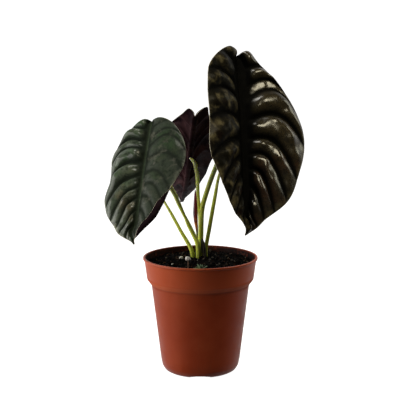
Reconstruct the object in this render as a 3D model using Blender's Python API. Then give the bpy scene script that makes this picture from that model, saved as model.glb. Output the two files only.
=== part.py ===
"""A young alocasia in a round nursery pot.

Metres, +Z up. The origin is the centre of the pot's underside, and the plant's two large leaves face -Y.
Each blade is worked out flat, as (along the midrib, across it), then quilted between its veins and bent to
its posture. Lengths that are easier to read in millimetres are written so and multiplied by MM.
"""

import math

import bmesh
import bpy
import numpy as np
from mathutils import Vector, noise

MM = 0.001
# Clearance between pieces that rest on each other
GAP = 0.3 * MM

# Pot
POT_WIDTH = 120 * MM
POT_HEIGHT = 122 * MM
POT_FOOT_WIDTH = 67 * MM
POT_SIDES = 48
WALL = 1.5 * MM
FLOOR = 4.5 * MM
LIP_HEIGHT = 1.8 * MM
LIP_PROUD = 1.3 * MM
BAND_DEPTH = 23 * MM
BAND_TAPER = 2.8 * MM
STEP_DEPTH = 6 * MM
BODY_TOP_RADIUS = 51.3 * MM
BODY_FOOT_RADIUS = 41.5 * MM
CORNER_HEIGHT = 13 * MM
# Where the foot turns up into the wall: (out from the foot's edge, height)
FOOT_CORNER = ((4.0 * MM, 2.2 * MM), (6.6 * MM, 6.5 * MM))
LIP_EASE = 0.5 * MM
DRAIN_COUNT = 4
DRAIN_RADIUS = 4 * MM
DRAIN_RING = 24 * MM
CHANNEL_START = 18 * MM
CHANNEL_WIDTH = 21 * MM
CHANNEL_DEPTH = 2.8 * MM
CHANNEL_FACETS = 8

# Soil
CROWN = (-0.5 * MM, 16 * MM)
SOIL_EDGE_LEVEL = 113.5 * MM
SOIL_CROWN_LEVEL = 118.5 * MM
SOIL_RINGS = 9
MOUND_STEEPNESS = 1.6
SOIL_BUMP = 0.6 * MM
# Lengths of the lumps across and along the pot, with how far each swirls round another
LUMPS_ACROSS = (3.1 * MM, 5.3 * MM, 1.3)
LUMPS_ALONG = (2.7 * MM, 4.9 * MM, 1.7)
# The soil is smooth round the stalks, out to the first share of the pot's radius, and lumpy from the second
SMOOTH_CROWN = (0.22, 0.37)
HOLE_CLEARANCE = 0.5 * MM
STALK_DEPTH = 11 * MM
# Every pocket in the soil is cut down from this height
POCKET_TOP = 140 * MM

# Corm, the buried body that the stalks grow from
CORM_RADIUS = 12 * MM
CORM_HEIGHT = 17 * MM
CORM_SIDES = 16
CORM_TOP = SOIL_CROWN_LEVEL - STALK_DEPTH - GAP
# Its rounded underside as (share of the radius, height over the lowest point), and its shoulder
CORM_UNDERSIDE = ((0.45, 1.2 * MM), (0.80, 5.0 * MM), (1.0, 10.5 * MM))
CORM_SHOULDER = (0.93, 2.0 * MM)

# Blades
BLADE_THICKNESS = 0.9 * MM
# On a slope the blade is made thicker upwards, so that it stays as thick across, up to this share
MOST_THICKENING = 1.7
MIDRIB_DEPTH = 1.2 * MM
LINES_BETWEEN_VEINS = 4
COLUMN_CROWDING = 1.3
QUILT_CAP = 22 * MM
# The quilting swells over this share of the breadth from the midrib, and most of it dies out at the margin
QUILT_ONSET = 0.11
MARGIN_CALM = 0.9
VALLEY_SHARPNESS = 0.75
# The bulges of a half differ in height by this share, and each is wavy by another over this length
SWELL = 0.15
WAVE_SHARE = 0.45
WAVE_LENGTH = 13 * MM
# Beside the midrib each bulge has a pleat: its depth and width as shares of the bulge, and its reach
PLEAT_DEPTH = 0.5
PLEAT_WIDTH = 0.13
PLEAT_REACH = 8 * MM
# The sunken band beside the midrib takes at most this share of the breadth, its floor this share of its width
GROOVE_LIMIT = 0.30
GROOVE_FLOOR = 0.8
# The last stretch of the breadth, from here out, is left for a margin that rolls up, in this many columns
MARGIN_COLUMN = 0.86
CURL_COLUMNS = 4
# Where the roll starts, is whole, starts to fall and ends, as shares of the margin from notch to tip
CURL_REACH = (0.58, 0.74, 0.95, 1.0)
# It takes at most this share of the breadth, bends at this radius and stops after so many degrees
MOST_CURL = 0.45
CURL_RADIUS = 2.0 * MM
CURL_STEEPNESS = 155
BOW_LATENESS = 1.2
ARCH_WIDTH_SHARE = 0.30
# The midrib's swing before the tip dies out here, as a share of the reach ahead of the stalk
HOOK_END = 1.02
# How far apart in the noise two blades' seeds are
NOISE_SHIFT = Vector((17.3, 5.7, 11.1))
MARGIN_SAMPLES = 160
# Where half-breadths are given, as shares of the reach behind and ahead of the stalk
BEHIND_STATIONS = (1.0, 0.80, 0.42)
AHEAD_STATIONS = (0.03, 0.23, 0.47, 0.70, 0.86, 0.93, 0.97)
# Each vein's root on the midrib (share of the notch's reach if negative, else of the reach ahead), its end
# along the margin (share of the margin's length from notch to tip) and its bow (share of the blade's length)
VEINS = np.array((
    (-1.00, 0.00, 0.00),
    (-0.69, 0.13, 0.00),
    (-0.28, 0.28, 0.07),
    (-0.05, 0.38, 0.11),
    (0.14, 0.50, 0.10),
    (0.27, 0.66, 0.10),
    (0.395, 0.77, 0.12),
    (0.505, 0.845, 0.10),
    (0.64, 0.90, 0.07),
    (0.79, 0.95, 0.03),
    (1.00, 1.00, 0.00),
))

# Blades' sizes in mm, angles in degrees. facing is the compass turn of the upper face from -Y towards +X,
# tilt how far that face looks up, lean the tip's swing sideways, fold the rise of each half from the midrib,
# arch how much that rise falls off towards the margin. droop is the midrib's bend ahead of and behind the
# stalk, in radians a metre. hook is the midrib's swing sideways before the tip, and the share of the reach
# ahead where it starts. The halves give half-breadths. For each half, quilt is the height of the quilting as
# a share of the distance between veins, bow how much of the veins' bow it has, groove the width of the sunken
# band beside the midrib and curl how much of the margin rolls up.
LEAVES = {
    "right": {
        "seat": (41.1, -25.0, 283.7), "facing": 42, "tilt": 26.5, "lean": 18.5,
        "fold": 26, "arch": 23, "droop": (0.5, 0.7), "hook": (-4.5, 0.86), "quilt": (0.28, 0.33),
        "bow": (0.35, 1.0), "groove": (7.0, 5.0), "curl": (0.0, 0.0),
        "ahead": 139, "behind": 63, "notch": 57, "across": 7,
        "halves": ((9, 31, 51, 55, 54, 55, 38, 22, 11, 3), (12, 22, 45.5, 65, 71, 62, 47.5, 22.5, 9, 3)),
    },
    "left": {
        "seat": (-55.0, -20.0, 236.3), "facing": -38, "tilt": 38, "lean": -18.5,
        "fold": 19, "arch": 40, "droop": (0.6, 1.0), "hook": (4.4, 0.76), "quilt": (0.36, 0.06),
        "bow": (0.6, 1.0), "groove": (1.6, 2.0), "curl": (0.0, 9.0),
        "ahead": 108, "behind": 38.5, "notch": 38, "across": 7,
        "halves": ((11, 21, 32.5, 41.5, 38.5, 43, 32, 16, 7, 2), (10, 25, 38, 47, 48, 38.5, 30, 20.7, 11, 2)),
    },
    "rear": {
        "seat": (-11.2, 42.0, 221.8), "facing": 180.5, "tilt": 34.5, "lean": -5.5,
        "fold": 43, "arch": 18.5, "droop": (-6.3, -1.1), "hook": (0, 0.86), "quilt": (0.20, 0.20),
        "bow": (1.0, 1.0), "groove": (2.0, 2.0), "curl": (0.0, 0.0),
        "ahead": 120, "behind": 61, "notch": 57, "across": 6,
        "halves": ((16, 20, 35, 41, 32, 27, 19, 9.5, 4, 2), (8, 17, 32, 43, 39, 35, 20, 10, 5, 3)),
    },
    "back_right": {
        "seat": (44.0, 52.0, 259.0), "facing": 128, "tilt": 32, "lean": 6,
        "fold": 24, "arch": 34, "droop": (3.0, 2.0), "hook": (0, 0.86), "quilt": (0.20, 0.20),
        "bow": (1.0, 1.0), "groove": (2.0, 2.0), "curl": (0.0, 0.0),
        "ahead": 78, "behind": 33, "notch": 28, "across": 5,
        "halves": ((7, 16, 27, 33, 34, 30, 21, 11, 5, 2), (7, 15, 26, 31, 32, 30, 22, 12, 6, 3)),
    },
    "back_left": {
        "seat": (-64.0, 24.0, 225.5), "facing": -146, "tilt": 30, "lean": -5,
        "fold": 22, "arch": 36, "droop": (3.5, 2.0), "hook": (0, 0.86), "quilt": (0.20, 0.20),
        "bow": (1.0, 1.0), "groove": (2.0, 2.0), "curl": (0.0, 0.0),
        "ahead": 66, "behind": 27, "notch": 22, "across": 5,
        "halves": ((6, 14, 22, 27, 28, 25, 18, 9, 5, 2), (6, 13, 22, 26, 27, 24, 17, 10, 5, 2)),
    },
}

# Leaf stalks: points (x, y, z) and radii in mm, from the soil upwards. The last stretch runs to the blade.
STALKS = {
    "right": (
        (-0.6, 15.5, 118.5, 2.7), (0.4, 15.5, 137, 2.7), (0.8, 15.5, 155, 2.7), (1.4, 15.5, 166, 2.6),
        (2.7, 15.3, 174.5, 2.6), (5.6, 14.8, 184.5, 2.5), (11.6, 12, 203, 2.5), (27, -1, 244, 2.2),
    ),
    "left": (
        (-2.2, 9.2, 118.5, 2.2), (-2.3, 9.2, 128, 2.2), (-3.9, 9, 136.5, 2.3), (-8.2, 8.5, 146, 2.3),
        (-12.9, 7.5, 156, 2.2), (-15.2, 6.7, 161.5, 1.7), (-17.4, 6, 166, 1.7), (-22.8, 4, 178.5, 2.2),
        (-26, 2, 186.5, 2.3), (-31, -0.5, 196, 2.3), (-42, -8, 216, 2.0),
    ),
    "rear": (
        (0.3, 22.5, 118.5, 2.1), (-0.1, 22.3, 143, 2.0), (-0.6, 22.3, 162, 2.0), (-1.6, 22.8, 173, 1.9),
        (-2.6, 24, 185, 1.9), (-3.1, 26.5, 200, 1.9), (-4.1, 30, 208, 1.9), (-6.6, 36, 216.5, 1.8),
    ),
    "back_right": (
        (5.5, 17.5, 118.5, 2.0), (5.7, 17.5, 126, 2.0), (7.1, 18, 135.5, 2.0), (8.9, 19.5, 145, 2.1),
        (12.1, 22.5, 163, 2.1), (15.6, 28, 181.5, 1.9), (19.2, 32.5, 200.5, 1.5), (27, 38, 225, 1.3),
        (36, 43, 247, 1.3),
    ),
    "back_left": (
        (-7.8, 12.2, 118.5, 2.2), (-9.2, 12.2, 126, 2.1), (-14.3, 12.3, 136, 2.0), (-19.9, 12.6, 145.5, 1.8),
        (-25, 13, 155, 1.7), (-30.2, 14, 164.5, 1.6), (-38.4, 15.5, 178.5, 1.2), (-49.5, 17, 199.5, 1.0),
        (-58, 18, 215, 1.0),
    ),
}
STALK_END_SHARE = 0.75
STALK_STATIONS = 18
NEW_LEAF_STATIONS = 12
SHEATH_STATIONS = 6

# Rolled new leaf, held close to the middle stalks, and the dried sheath of an old leaf
NEW_LEAF = (
    (-4.2, 20, 118.5, 1.1), (-3.4, 18.8, 138, 0.9), (-3.9, 18, 148, 1.4), (-4.9, 17.3, 156, 2.0),
    (-5.4, 16.8, 165, 2.4), (-5.3, 16.6, 174, 2.1), (-5.3, 16.6, 183, 1.4), (-5.5, 16.8, 190, 0.4),
)
DRIED_SHEATH = (
    (3.9, 11, 118.5, 1.7), (3.7, 10.9, 125, 2.2), (3, 10.9, 131, 2.2), (2, 10.9, 136.5, 1.4),
    (1.4, 11, 139.5, 0.4),
)

# White grains on the soil: x, y and radius in mm
GRAINS = ((-20, 9, 2.2), (-29, -15, 1.1))
GRAIN_FLATNESS = 0.8
GRAIN_SUNK_SHARE = 0.55
GRAIN_DENT = 0.18
GRAIN_CLEARANCE = 0.6 * MM

# Small toadstool at the front of the pot
TOADSTOOL_AT = (-12.6 * MM, -32 * MM)
TOADSTOOL_HEIGHT = 13.5 * MM
TOADSTOOL_STEM_RADIUS = 0.65 * MM
TOADSTOOL_CAP_RADIUS = 3.0 * MM
TOADSTOOL_CAP_HEIGHT = 3.4 * MM
TOADSTOOL_DEPTH = 3 * MM
TOADSTOOL_SIDES = 12
# The cap as (share of its radius, share of its height below the top), and where the stem meets it
TOADSTOOL_CAP = ((1.0, 1.0), (0.97, 0.72), (0.65, 0.30), (0.25, 0.04))
TOADSTOOL_NECK = 0.55

# Seedling beside it
SEEDLING_AT = (0.2 * MM, -36 * MM)
SEEDLING_RADIUS = 3.0 * MM
SEEDLING_DEPTH = 2.0 * MM
SEEDLING_SIDES = 10
SEEDLING_LEAVES = 9
SEEDLING_LEAF_LENGTH = 9.0 * MM
SEEDLING_LEAF_WIDTH = 2.8 * MM
SEEDLING_LEAF_THICKNESS = 1.0 * MM
# Its mound as (share of the radius, height over the soil), and the height that the leaves start at
SEEDLING_MOUND = ((1.0, 0.2 * MM), (0.6, 1.3 * MM), (0.0, 1.6 * MM))
SEEDLING_ROOT = 0.6 * MM
# Each leaf as (share of its length, share of its width)
SEEDLING_LEAF_SHAPE = ((0.0, 0.45), (0.4, 0.9), (0.7, 1.0), (1.0, 0.12))
SEEDLING_LEAST_THICKNESS = 0.5
# The leaves rise by these angles in degrees, turn by this share of a circle each, and bend over by this much
SEEDLING_RISE = (44, 74)
SEEDLING_TURN = 0.382
SEEDLING_BEND = 30


def clear_scene():
    for obj in list(bpy.data.objects):
        bpy.data.objects.remove(obj, do_unlink=True)


def material(name, color, roughness):
    made = bpy.data.materials.new(name)
    made.use_nodes = True
    shader = made.node_tree.nodes["Principled BSDF"]
    shader.inputs["Base Color"].default_value = (*color, 1.0)
    shader.inputs["Roughness"].default_value = roughness
    shader.inputs["Metallic"].default_value = 0.0
    return made


def mesh_object(name, points, faces, finish, smooth_angle=None):
    """A closed mesh as a linked object, its faces turned outwards."""
    mesh = bpy.data.meshes.new(name)
    mesh.from_pydata([tuple(map(float, p)) for p in points], [], faces)
    shell = bmesh.new()
    shell.from_mesh(mesh)
    bmesh.ops.recalc_face_normals(shell, faces=shell.faces)
    shell.to_mesh(mesh)
    shell.free()
    mesh.shade_smooth()
    if smooth_angle is not None:
        mesh.set_sharp_from_angle(angle=math.radians(smooth_angle))
    mesh.materials.append(finish)
    obj = bpy.data.objects.new(name, mesh)
    bpy.context.scene.collection.objects.link(obj)
    return obj


def smooth_curve(points, count):
    """Centripetal Catmull-Rom curve through the points."""
    p = np.array(points, float)
    p = np.vstack([2 * p[0] - p[1], p, 2 * p[-1] - p[-2]])
    knots = np.r_[0, np.cumsum(np.linalg.norm(np.diff(p[:, :3], axis=0), axis=1) ** 0.5)]
    t = np.linspace(knots[1], knots[-2], count)
    i = np.clip(np.searchsorted(knots, t, side="right") - 1, 1, len(p) - 3)

    def mixed(a, b, ta, tb):
        share = ((t - ta) / (tb - ta))[:, None]
        return (1 - share) * a + share * b

    k = [knots[i + step] for step in (-1, 0, 1, 2)]
    first = [mixed(p[i + n - 1], p[i + n], k[n], k[n + 1]) for n in range(3)]
    second = [mixed(first[n], first[n + 1], k[n], k[n + 2]) for n in range(2)]
    return mixed(second[0], second[1], k[1], k[2])


def turned(name, profile, finish, sides=POT_SIDES, axis=(0.0, 0.0), smooth_angle=35):
    """Solid of revolution. The profile of (radius, height) starts and ends on the axis."""
    points = [(*axis, profile[0][1])]
    for radius, height in profile[1:-1]:
        for step in range(sides):
            turn = 2 * math.pi * step / sides
            points.append((axis[0] + radius * math.cos(turn), axis[1] + radius * math.sin(turn), height))
    points.append((*axis, profile[-1][1]))
    last = len(points) - 1
    faces = []
    for step in range(sides):
        after = (step + 1) % sides
        faces.append((0, 1 + step, 1 + after))
        for ring in range(len(profile) - 3):
            low = 1 + ring * sides
            high = low + sides
            faces.append((low + step, high + step, high + after, low + after))
        faces.append((last, last - sides + after, last - sides + step))
    return mesh_object(name, points, faces, finish, smooth_angle)


def pot_outer_profile():
    rim = POT_WIDTH / 2
    band = rim - LIP_PROUD
    band_foot = POT_HEIGHT - BAND_DEPTH
    foot = POT_FOOT_WIDTH / 2
    return [
        (foot, 0.0),
        *((foot + out, height) for out, height in FOOT_CORNER),
        (BODY_FOOT_RADIUS, CORNER_HEIGHT),
        (BODY_TOP_RADIUS, band_foot - STEP_DEPTH),
        (band - BAND_TAPER, band_foot),
        (band, POT_HEIGHT - LIP_HEIGHT - LIP_EASE),
        (rim, POT_HEIGHT - LIP_HEIGHT),
        (rim, POT_HEIGHT - LIP_EASE),
        (rim - LIP_EASE, POT_HEIGHT),
    ]


def pot_inner_profile(gap=0.0):
    """The inside from the rim down. With a gap it is the outline of what fills the pot."""
    shrink = WALL + gap
    outer = pot_outer_profile()
    return [
        (outer[6][0] - shrink, POT_HEIGHT),
        (outer[5][0] - shrink, outer[5][1]),
        (outer[4][0] - shrink, outer[4][1]),
        (outer[3][0] - shrink, outer[3][1]),
        (outer[2][0] - shrink, FLOOR + FOOT_CORNER[0][0] + gap),
        (outer[1][0] - shrink, FLOOR + gap),
    ]


def cutters_into(target, cutters):
    """Cuts a list of hidden solids out of the target, each kept as a guide."""
    group = bpy.data.collections.new(target.name + "_cutters")
    bpy.context.scene.collection.children.link(group)
    for cutter in cutters:
        bpy.context.scene.collection.objects.unlink(cutter)
        group.objects.link(cutter)
        cutter.hide_render = True
        cutter.display_type = "WIRE"
    cut = target.modifiers.new("cut", "BOOLEAN")
    cut.operation = "DIFFERENCE"
    cut.operand_type = "COLLECTION"
    cut.collection = group
    cut.solver = "EXACT"


def upright_cutter(name, at, radius, low, high, finish, sides=12):
    profile = ((0, low), (radius, low), (radius, high), (0, high))
    return turned(name, profile, finish, sides=sides, axis=at)


def build_pot(finish):
    profile = [(0.0, 0.0), *pot_outer_profile(), *pot_inner_profile(), (0.0, FLOOR)]
    pot = turned("pot", profile, finish)
    cutters = []
    for number in range(DRAIN_COUNT):
        turn = 2 * math.pi * number / DRAIN_COUNT
        at = (DRAIN_RING * math.cos(turn), DRAIN_RING * math.sin(turn))
        cutters.append(upright_cutter(f"drain_{number}", at, DRAIN_RADIUS, -MM, FLOOR + MM, finish))
        cutters.append(channel_cutter(number, turn, finish))
    cutters_into(pot, cutters)
    return pot


def channel_cutter(number, turn, finish):
    """A shallow arched trough under the floor, out through the pot's lower edge, which it scallops."""
    half = CHANNEL_WIDTH / 2
    section = [(-half, -MM), (half, -MM)]
    for step in range(CHANNEL_FACETS + 1):
        angle = math.pi * step / CHANNEL_FACETS
        section.append((half * math.cos(angle), CHANNEL_DEPTH * math.sin(angle)))
    spin = (math.cos(turn), math.sin(turn))
    points = []
    for along in (CHANNEL_START, POT_WIDTH / 2):
        for across, height in section:
            points.append((along * spin[0] - across * spin[1], along * spin[1] + across * spin[0], height))
    corners = len(section)
    faces = [tuple(range(corners)), tuple(range(2 * corners - 1, corners - 1, -1))]
    for corner in range(corners):
        after = (corner + 1) % corners
        faces.append((corner, after, after + corners, corner + corners))
    return mesh_object(f"channel_{number}", points, faces, finish)


def soil_level(x, y):
    """Height of the soil: a low mound towards the crown, with small even lumps."""
    reach = math.hypot(x - CROWN[0], y - CROWN[1]) / (POT_WIDTH / 2)
    mound = (SOIL_CROWN_LEVEL - SOIL_EDGE_LEVEL) * math.exp(-MOUND_STEEPNESS * reach**2)
    lumps = 0.0
    for here, there, (length, swirl_length, swirl) in ((x, y, LUMPS_ACROSS), (y, x, LUMPS_ALONG)):
        lumps += math.sin(here / length + swirl * math.sin(there / swirl_length))
    return SOIL_EDGE_LEVEL + mound + SOIL_BUMP * lumps * float(np.interp(reach, SMOOTH_CROWN, (0, 1)))


def build_soil(finish, pockets):
    side = pot_inner_profile(GAP)
    edge_radius = np.interp(SOIL_EDGE_LEVEL, (side[1][1], side[0][1]), (side[1][0], side[0][0]))
    points = [(0.0, 0.0, soil_level(0.0, 0.0))]
    rings = [edge_radius * (ring + 1) / SOIL_RINGS for ring in range(SOIL_RINGS)]
    for radius in rings:
        for step in range(POT_SIDES):
            turn = 2 * math.pi * step / POT_SIDES
            x, y = radius * math.cos(turn), radius * math.sin(turn)
            level = SOIL_EDGE_LEVEL if radius == rings[-1] else soil_level(x, y)
            points.append((x, y, level))
    for radius, height in side[1:]:
        for step in range(POT_SIDES):
            turn = 2 * math.pi * step / POT_SIDES
            points.append((radius * math.cos(turn), radius * math.sin(turn), height))
    points.append((0.0, 0.0, side[-1][1]))
    last = len(points) - 1
    faces = []
    ring_count = SOIL_RINGS + len(side) - 1
    for step in range(POT_SIDES):
        after = (step + 1) % POT_SIDES
        faces.append((0, 1 + step, 1 + after))
        for ring in range(ring_count - 1):
            low = 1 + ring * POT_SIDES
            high = low + POT_SIDES
            faces.append((low + step, high + step, high + after))
            faces.append((low + step, high + after, low + after))
        faces.append((last, last - POT_SIDES + after, last - POT_SIDES + step))
    soil = mesh_object("soil", points, faces, finish)
    cutters_into(soil, pockets)
    return soil


def corm_profile(grow=0.0):
    """The buried corm: a flat top that the stalks stand on, round below."""
    radius = CORM_RADIUS + grow
    top = CORM_TOP + grow
    low = CORM_TOP - CORM_HEIGHT - grow
    shoulder, shoulder_drop = CORM_SHOULDER
    return [
        (0.0, low),
        *((radius * share, low + height) for share, height in CORM_UNDERSIDE),
        (radius, top - shoulder_drop),
        (radius * shoulder, top),
        (0.0, top),
    ]


def leaf_axes(leaf):
    """Unit vectors across the blade, along it towards the tip, and out of its upper face."""
    facing, tilt, lean = (math.radians(leaf[key]) for key in ("facing", "tilt", "lean"))
    upper = Vector((math.sin(facing) * math.cos(tilt), -math.cos(facing) * math.cos(tilt), math.sin(tilt)))
    down = Vector((0.0, 0.0, -1.0))
    tip = (down - down.dot(upper) * upper).normalized()
    side = tip.cross(upper)
    tip = math.cos(lean) * tip + math.sin(lean) * side
    return tip.cross(upper), tip, upper


def half_outline(leaf, breadths):
    """The flat margin of one half, from the notch round the lobe to the tip, as (along, across)."""
    points = [(-leaf["notch"], 0.0)]
    points += [(-share * leaf["behind"], b) for share, b in zip(BEHIND_STATIONS, breadths)]
    ahead_breadths = breadths[len(BEHIND_STATIONS):]
    points += [(share * leaf["ahead"], b) for share, b in zip(AHEAD_STATIONS, ahead_breadths)]
    points.append((leaf["ahead"], 0.0))
    return smooth_curve(points, MARGIN_SAMPLES) * MM


def noise_at(points, scale, seed):
    """Smooth noise, -1 to 1, at each of the points."""
    return np.array([noise.noise(Vector(p) * scale + seed * NOISE_SHIFT) for p in points])


def flat_half(leaf, half, rng, seed):
    """One half's rows, which follow its veins: along, across, the relief's height and its upper normals."""
    margin = half_outline(leaf, leaf["halves"][half])
    quilt, bow_share = leaf["quilt"][half], leaf["bow"][half]
    groove, curl = leaf["groove"][half] * MM, leaf["curl"][half] * MM
    run = np.r_[0, np.cumsum(np.linalg.norm(np.diff(margin, axis=0), axis=1))]
    run /= run[-1]
    reach = np.where(VEINS[:, 0] < 0, leaf["notch"], leaf["ahead"]) * MM
    length = (leaf["ahead"] + leaf["behind"]) * MM
    vein_number = np.arange(len(VEINS))
    inner = MARGIN_COLUMN * np.linspace(0, 1, leaf["across"]) ** COLUMN_CROWDING
    outer = np.linspace(MARGIN_COLUMN, 1, (CURL_COLUMNS if curl else 1) + 1)[1:]
    share = np.r_[inner, outer]

    def lines(at):
        root = np.interp(at, vein_number, VEINS[:, 0] * reach)[:, None]
        end = np.interp(at, vein_number, VEINS[:, 1])
        bow = np.interp(at, vein_number, VEINS[:, 2])[:, None] * length * bow_share
        stop_along = np.interp(end, run, margin[:, 0])[:, None]
        stop_across = np.interp(end, run, margin[:, 1])[:, None]
        along = root + (stop_along - root) * share - bow * np.sin(math.pi * share**BOW_LATENESS)
        return along, stop_across * share, end, stop_across

    intervals = len(VEINS) - 1
    at = np.linspace(0, intervals, intervals * LINES_BETWEEN_VEINS + 1)
    interval = np.minimum(at.astype(int), intervals - 1)
    along, across, end, breadth = lines(at)
    breadth = np.maximum(breadth, MM)
    vein_along, vein_across, _, _ = lines(vein_number)
    spacing = np.hypot(np.diff(vein_along, axis=0), np.diff(vein_across, axis=0))
    spacing = np.minimum(spacing, QUILT_CAP)[interval]
    swell = rng.uniform(1 - SWELL, 1 + SWELL, intervals)[interval][:, None]
    fraction = (at - interval)[:, None]
    hump = np.sin(math.pi * fraction).clip(0, 1) ** VALLEY_SHARPNESS
    # The bulges start beside a sunken band, which widens towards the notch
    hindward = np.clip(-np.interp(at, vein_number, VEINS[:, 0]), 0, 1)[:, None]
    band = np.minimum(groove * (1 + hindward) / breadth, GROOVE_LIMIT)
    rise = 1 - np.exp(-np.clip(share - band, 0, 1) / QUILT_ONSET)
    rise *= 1 - MARGIN_CALM * share**4
    pleat = np.exp(-(((fraction - 0.5) / PLEAT_WIDTH) ** 2)) * np.exp(-((across / PLEAT_REACH) ** 2))
    height = quilt * spacing * rise * (swell * hump - PLEAT_DEPTH * pleat)
    flat = np.stack([along, across, 0 * along], -1).reshape(-1, 3)
    height *= 1 + WAVE_SHARE * noise_at(flat, 1 / WAVE_LENGTH, seed).reshape(along.shape)
    height -= MIDRIB_DEPTH * np.exp(-((across / (GROOVE_FLOOR * groove)) ** 2))
    turned = np.minimum(curl * np.interp(end, CURL_REACH, (0, 1, 1, 0))[:, None], MOST_CURL * breadth)
    return curled(along, across, height, turned)


def curled(along, across, height, turned):
    """The half with this much of its margin rolled up over it, as broad as before, and its upper normals."""
    run = np.hypot(np.gradient(along[:, -1]), np.gradient(across[:, -1]))[:, None]
    run = np.maximum(run, 0.01 * MM)
    inward_along = np.gradient(across[:, -1])[:, None] / run
    inward_across = -np.gradient(along[:, -1])[:, None] / run
    share = across / np.maximum(across[:, -1:], MM)
    spread_out = (turned - CURL_RADIUS).clip(0) * share**2
    along = along - inward_along * spread_out
    across = across - inward_across * spread_out
    depth = (along - along[:, -1:]) * inward_along + (across - across[:, -1:]) * inward_across
    past = np.clip(turned - depth, 0, None)
    angle = np.minimum(past / CURL_RADIUS, math.radians(CURL_STEEPNESS))
    straight = past - angle * CURL_RADIUS
    back = past - CURL_RADIUS * np.sin(angle) - straight * np.cos(angle)
    height = height * (1 - past / CURL_RADIUS).clip(0, 1)
    height += CURL_RADIUS * (1 - np.cos(angle)) + straight * np.sin(angle)
    normal = (inward_along * np.sin(angle), inward_across * np.sin(angle), np.cos(angle))
    return along + inward_along * back, across + inward_across * back, height, normal


def thickening(along, across, height, rolled):
    """How much thicker upwards the blade is made at each point, for the slopes of its relief."""
    steps_along = np.hypot(np.gradient(along, axis=0), np.gradient(across, axis=0))
    steps_across = np.hypot(np.gradient(along, axis=1), np.gradient(across, axis=1))
    slope_along = np.gradient(height, axis=0) / np.maximum(steps_along, MM)
    slope_across = np.gradient(height, axis=1) / np.maximum(steps_across, MM)
    share = np.minimum(np.sqrt(1 + slope_along**2 + slope_across**2), MOST_THICKENING)
    share[:, 0] = 1.0
    return np.where(rolled, 1.0, share)


def bent(leaf, along, across, height, side):
    """Moves flat points to their place in the world, side being +1 or -1."""
    fold, arch = math.radians(leaf["fold"]), math.radians(leaf["arch"])
    length = (leaf["ahead"] + leaf["behind"]) * MM
    curl = arch / (ARCH_WIDTH_SHARE * length)
    slope = fold - curl * across
    out = (math.sin(fold) - np.sin(slope)) / curl - height * np.sin(slope) * (across > 0)
    up = (np.cos(slope) - math.cos(fold)) / curl + height * np.cos(slope)
    droop = np.where(along > 0, *leaf["droop"])
    turn = droop * along
    forward = np.sin(turn) / droop + up * np.sin(turn)
    lift = -(1 - np.cos(turn)) / droop + up * np.cos(turn)
    hook, hook_start = leaf["hook"]
    near_tip = np.clip((along / (leaf["ahead"] * MM) - hook_start) / (HOOK_END - hook_start), 0, 1)
    sideways = side * out + hook * MM * np.sin(math.pi * near_tip) ** 2
    axes = [np.array(axis) for axis in leaf_axes(leaf)]
    seat = np.array(leaf["seat"]) * MM
    return seat + sum(part[..., None] * axis for part, axis in zip((sideways, forward, lift), axes))


def build_blade(name, leaf, finish, seed):
    """One blade: two halves that share the midrib, a face above and one below, split alike."""
    rng = np.random.default_rng(seed)
    halves = [flat_half(leaf, half, rng, 4 * seed + 2 * half) for half in range(2)]
    rows = len(halves[0][0])
    number = {}
    surfaces = ([], [])
    for side, (along, across, height, normal) in zip((1, -1), halves):
        half_thick = BLADE_THICKNESS / 2 * thickening(along, across, height, normal[2] < 1)
        faces_at = []
        for out in (half_thick, -half_thick):
            place = (middle + out * lean for middle, lean in zip((along, across, height), normal))
            faces_at.append(bent(leaf, *place, side))
        for row in range(rows):
            for column in range(along.shape[1]):
                tapered = row in (0, rows - 1)
                key = (0, row, 0) if tapered or column == 0 else (side, row, column)
                if key not in number:
                    number[key] = len(surfaces[0])
                    surfaces[0].append(faces_at[0][row, key[2]])
                    surfaces[1].append(faces_at[1][row, key[2]])

    def vertex(side, row, column):
        return number.get((side, row, column), number[(0, row, 0)])

    sheet = []
    edge = []
    for side, (along, *_) in zip((1, -1), halves):
        columns = along.shape[1]
        for row in range(rows - 1):
            for column in range(columns - 1):
                a, b = vertex(side, row, column), vertex(side, row + 1, column)
                c, d = vertex(side, row + 1, column + 1), vertex(side, row, column + 1)
                for corners in ((a, b, c), (a, c, d)):
                    if len(set(corners)) == 3:
                        sheet.append(corners[::side])
        ends = [vertex(side, row, columns - 1) for row in range(rows)]
        edge += list(zip(ends, ends[1:]))[::side]
    below = len(surfaces[0])
    faces = list(sheet) + [tuple(v + below for v in reversed(corners)) for corners in sheet]
    for p, q in edge:
        faces += [(p, p + below, q + below), (p, q + below, q)]
    return mesh_object(name, surfaces[0] + surfaces[1], faces, finish)


def tube(name, points, radii, finish, resolution=2):
    """A round stalk on a smooth route, its radii in mm."""
    curve = bpy.data.curves.new(name, "CURVE")
    curve.dimensions = "3D"
    curve.bevel_depth = MM
    curve.bevel_resolution = resolution
    curve.use_fill_caps = True
    spline = curve.splines.new("POLY")
    spline.points.add(len(points) - 1)
    for slot, place, radius in zip(spline.points, points, radii):
        slot.co = (*place, 1.0)
        slot.radius = radius
    curve.materials.append(finish)
    obj = bpy.data.objects.new(name, curve)
    bpy.context.scene.collection.objects.link(obj)
    return obj


def routed(name, route, finish, count, end=None):
    """A tube from its buried foot, upright to the soil's surface, then along its route."""
    foot = Vector(route[0][:3]) * MM
    sunk = foot - Vector((0.0, 0.0, STALK_DEPTH))
    middle = foot - Vector((0.0, 0.0, STALK_DEPTH / 2))
    stations = [(*(value * MM for value in point[:3]), point[3]) for point in route]
    if end is not None:
        stations.append(end)
    smooth = smooth_curve(stations, count)
    points = [tuple(sunk), tuple(middle)] + [tuple(p[:3]) for p in smooth]
    radii = [route[0][3]] * 2 + [p[3] for p in smooth]
    return tube(name, points, radii, finish)


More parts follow.
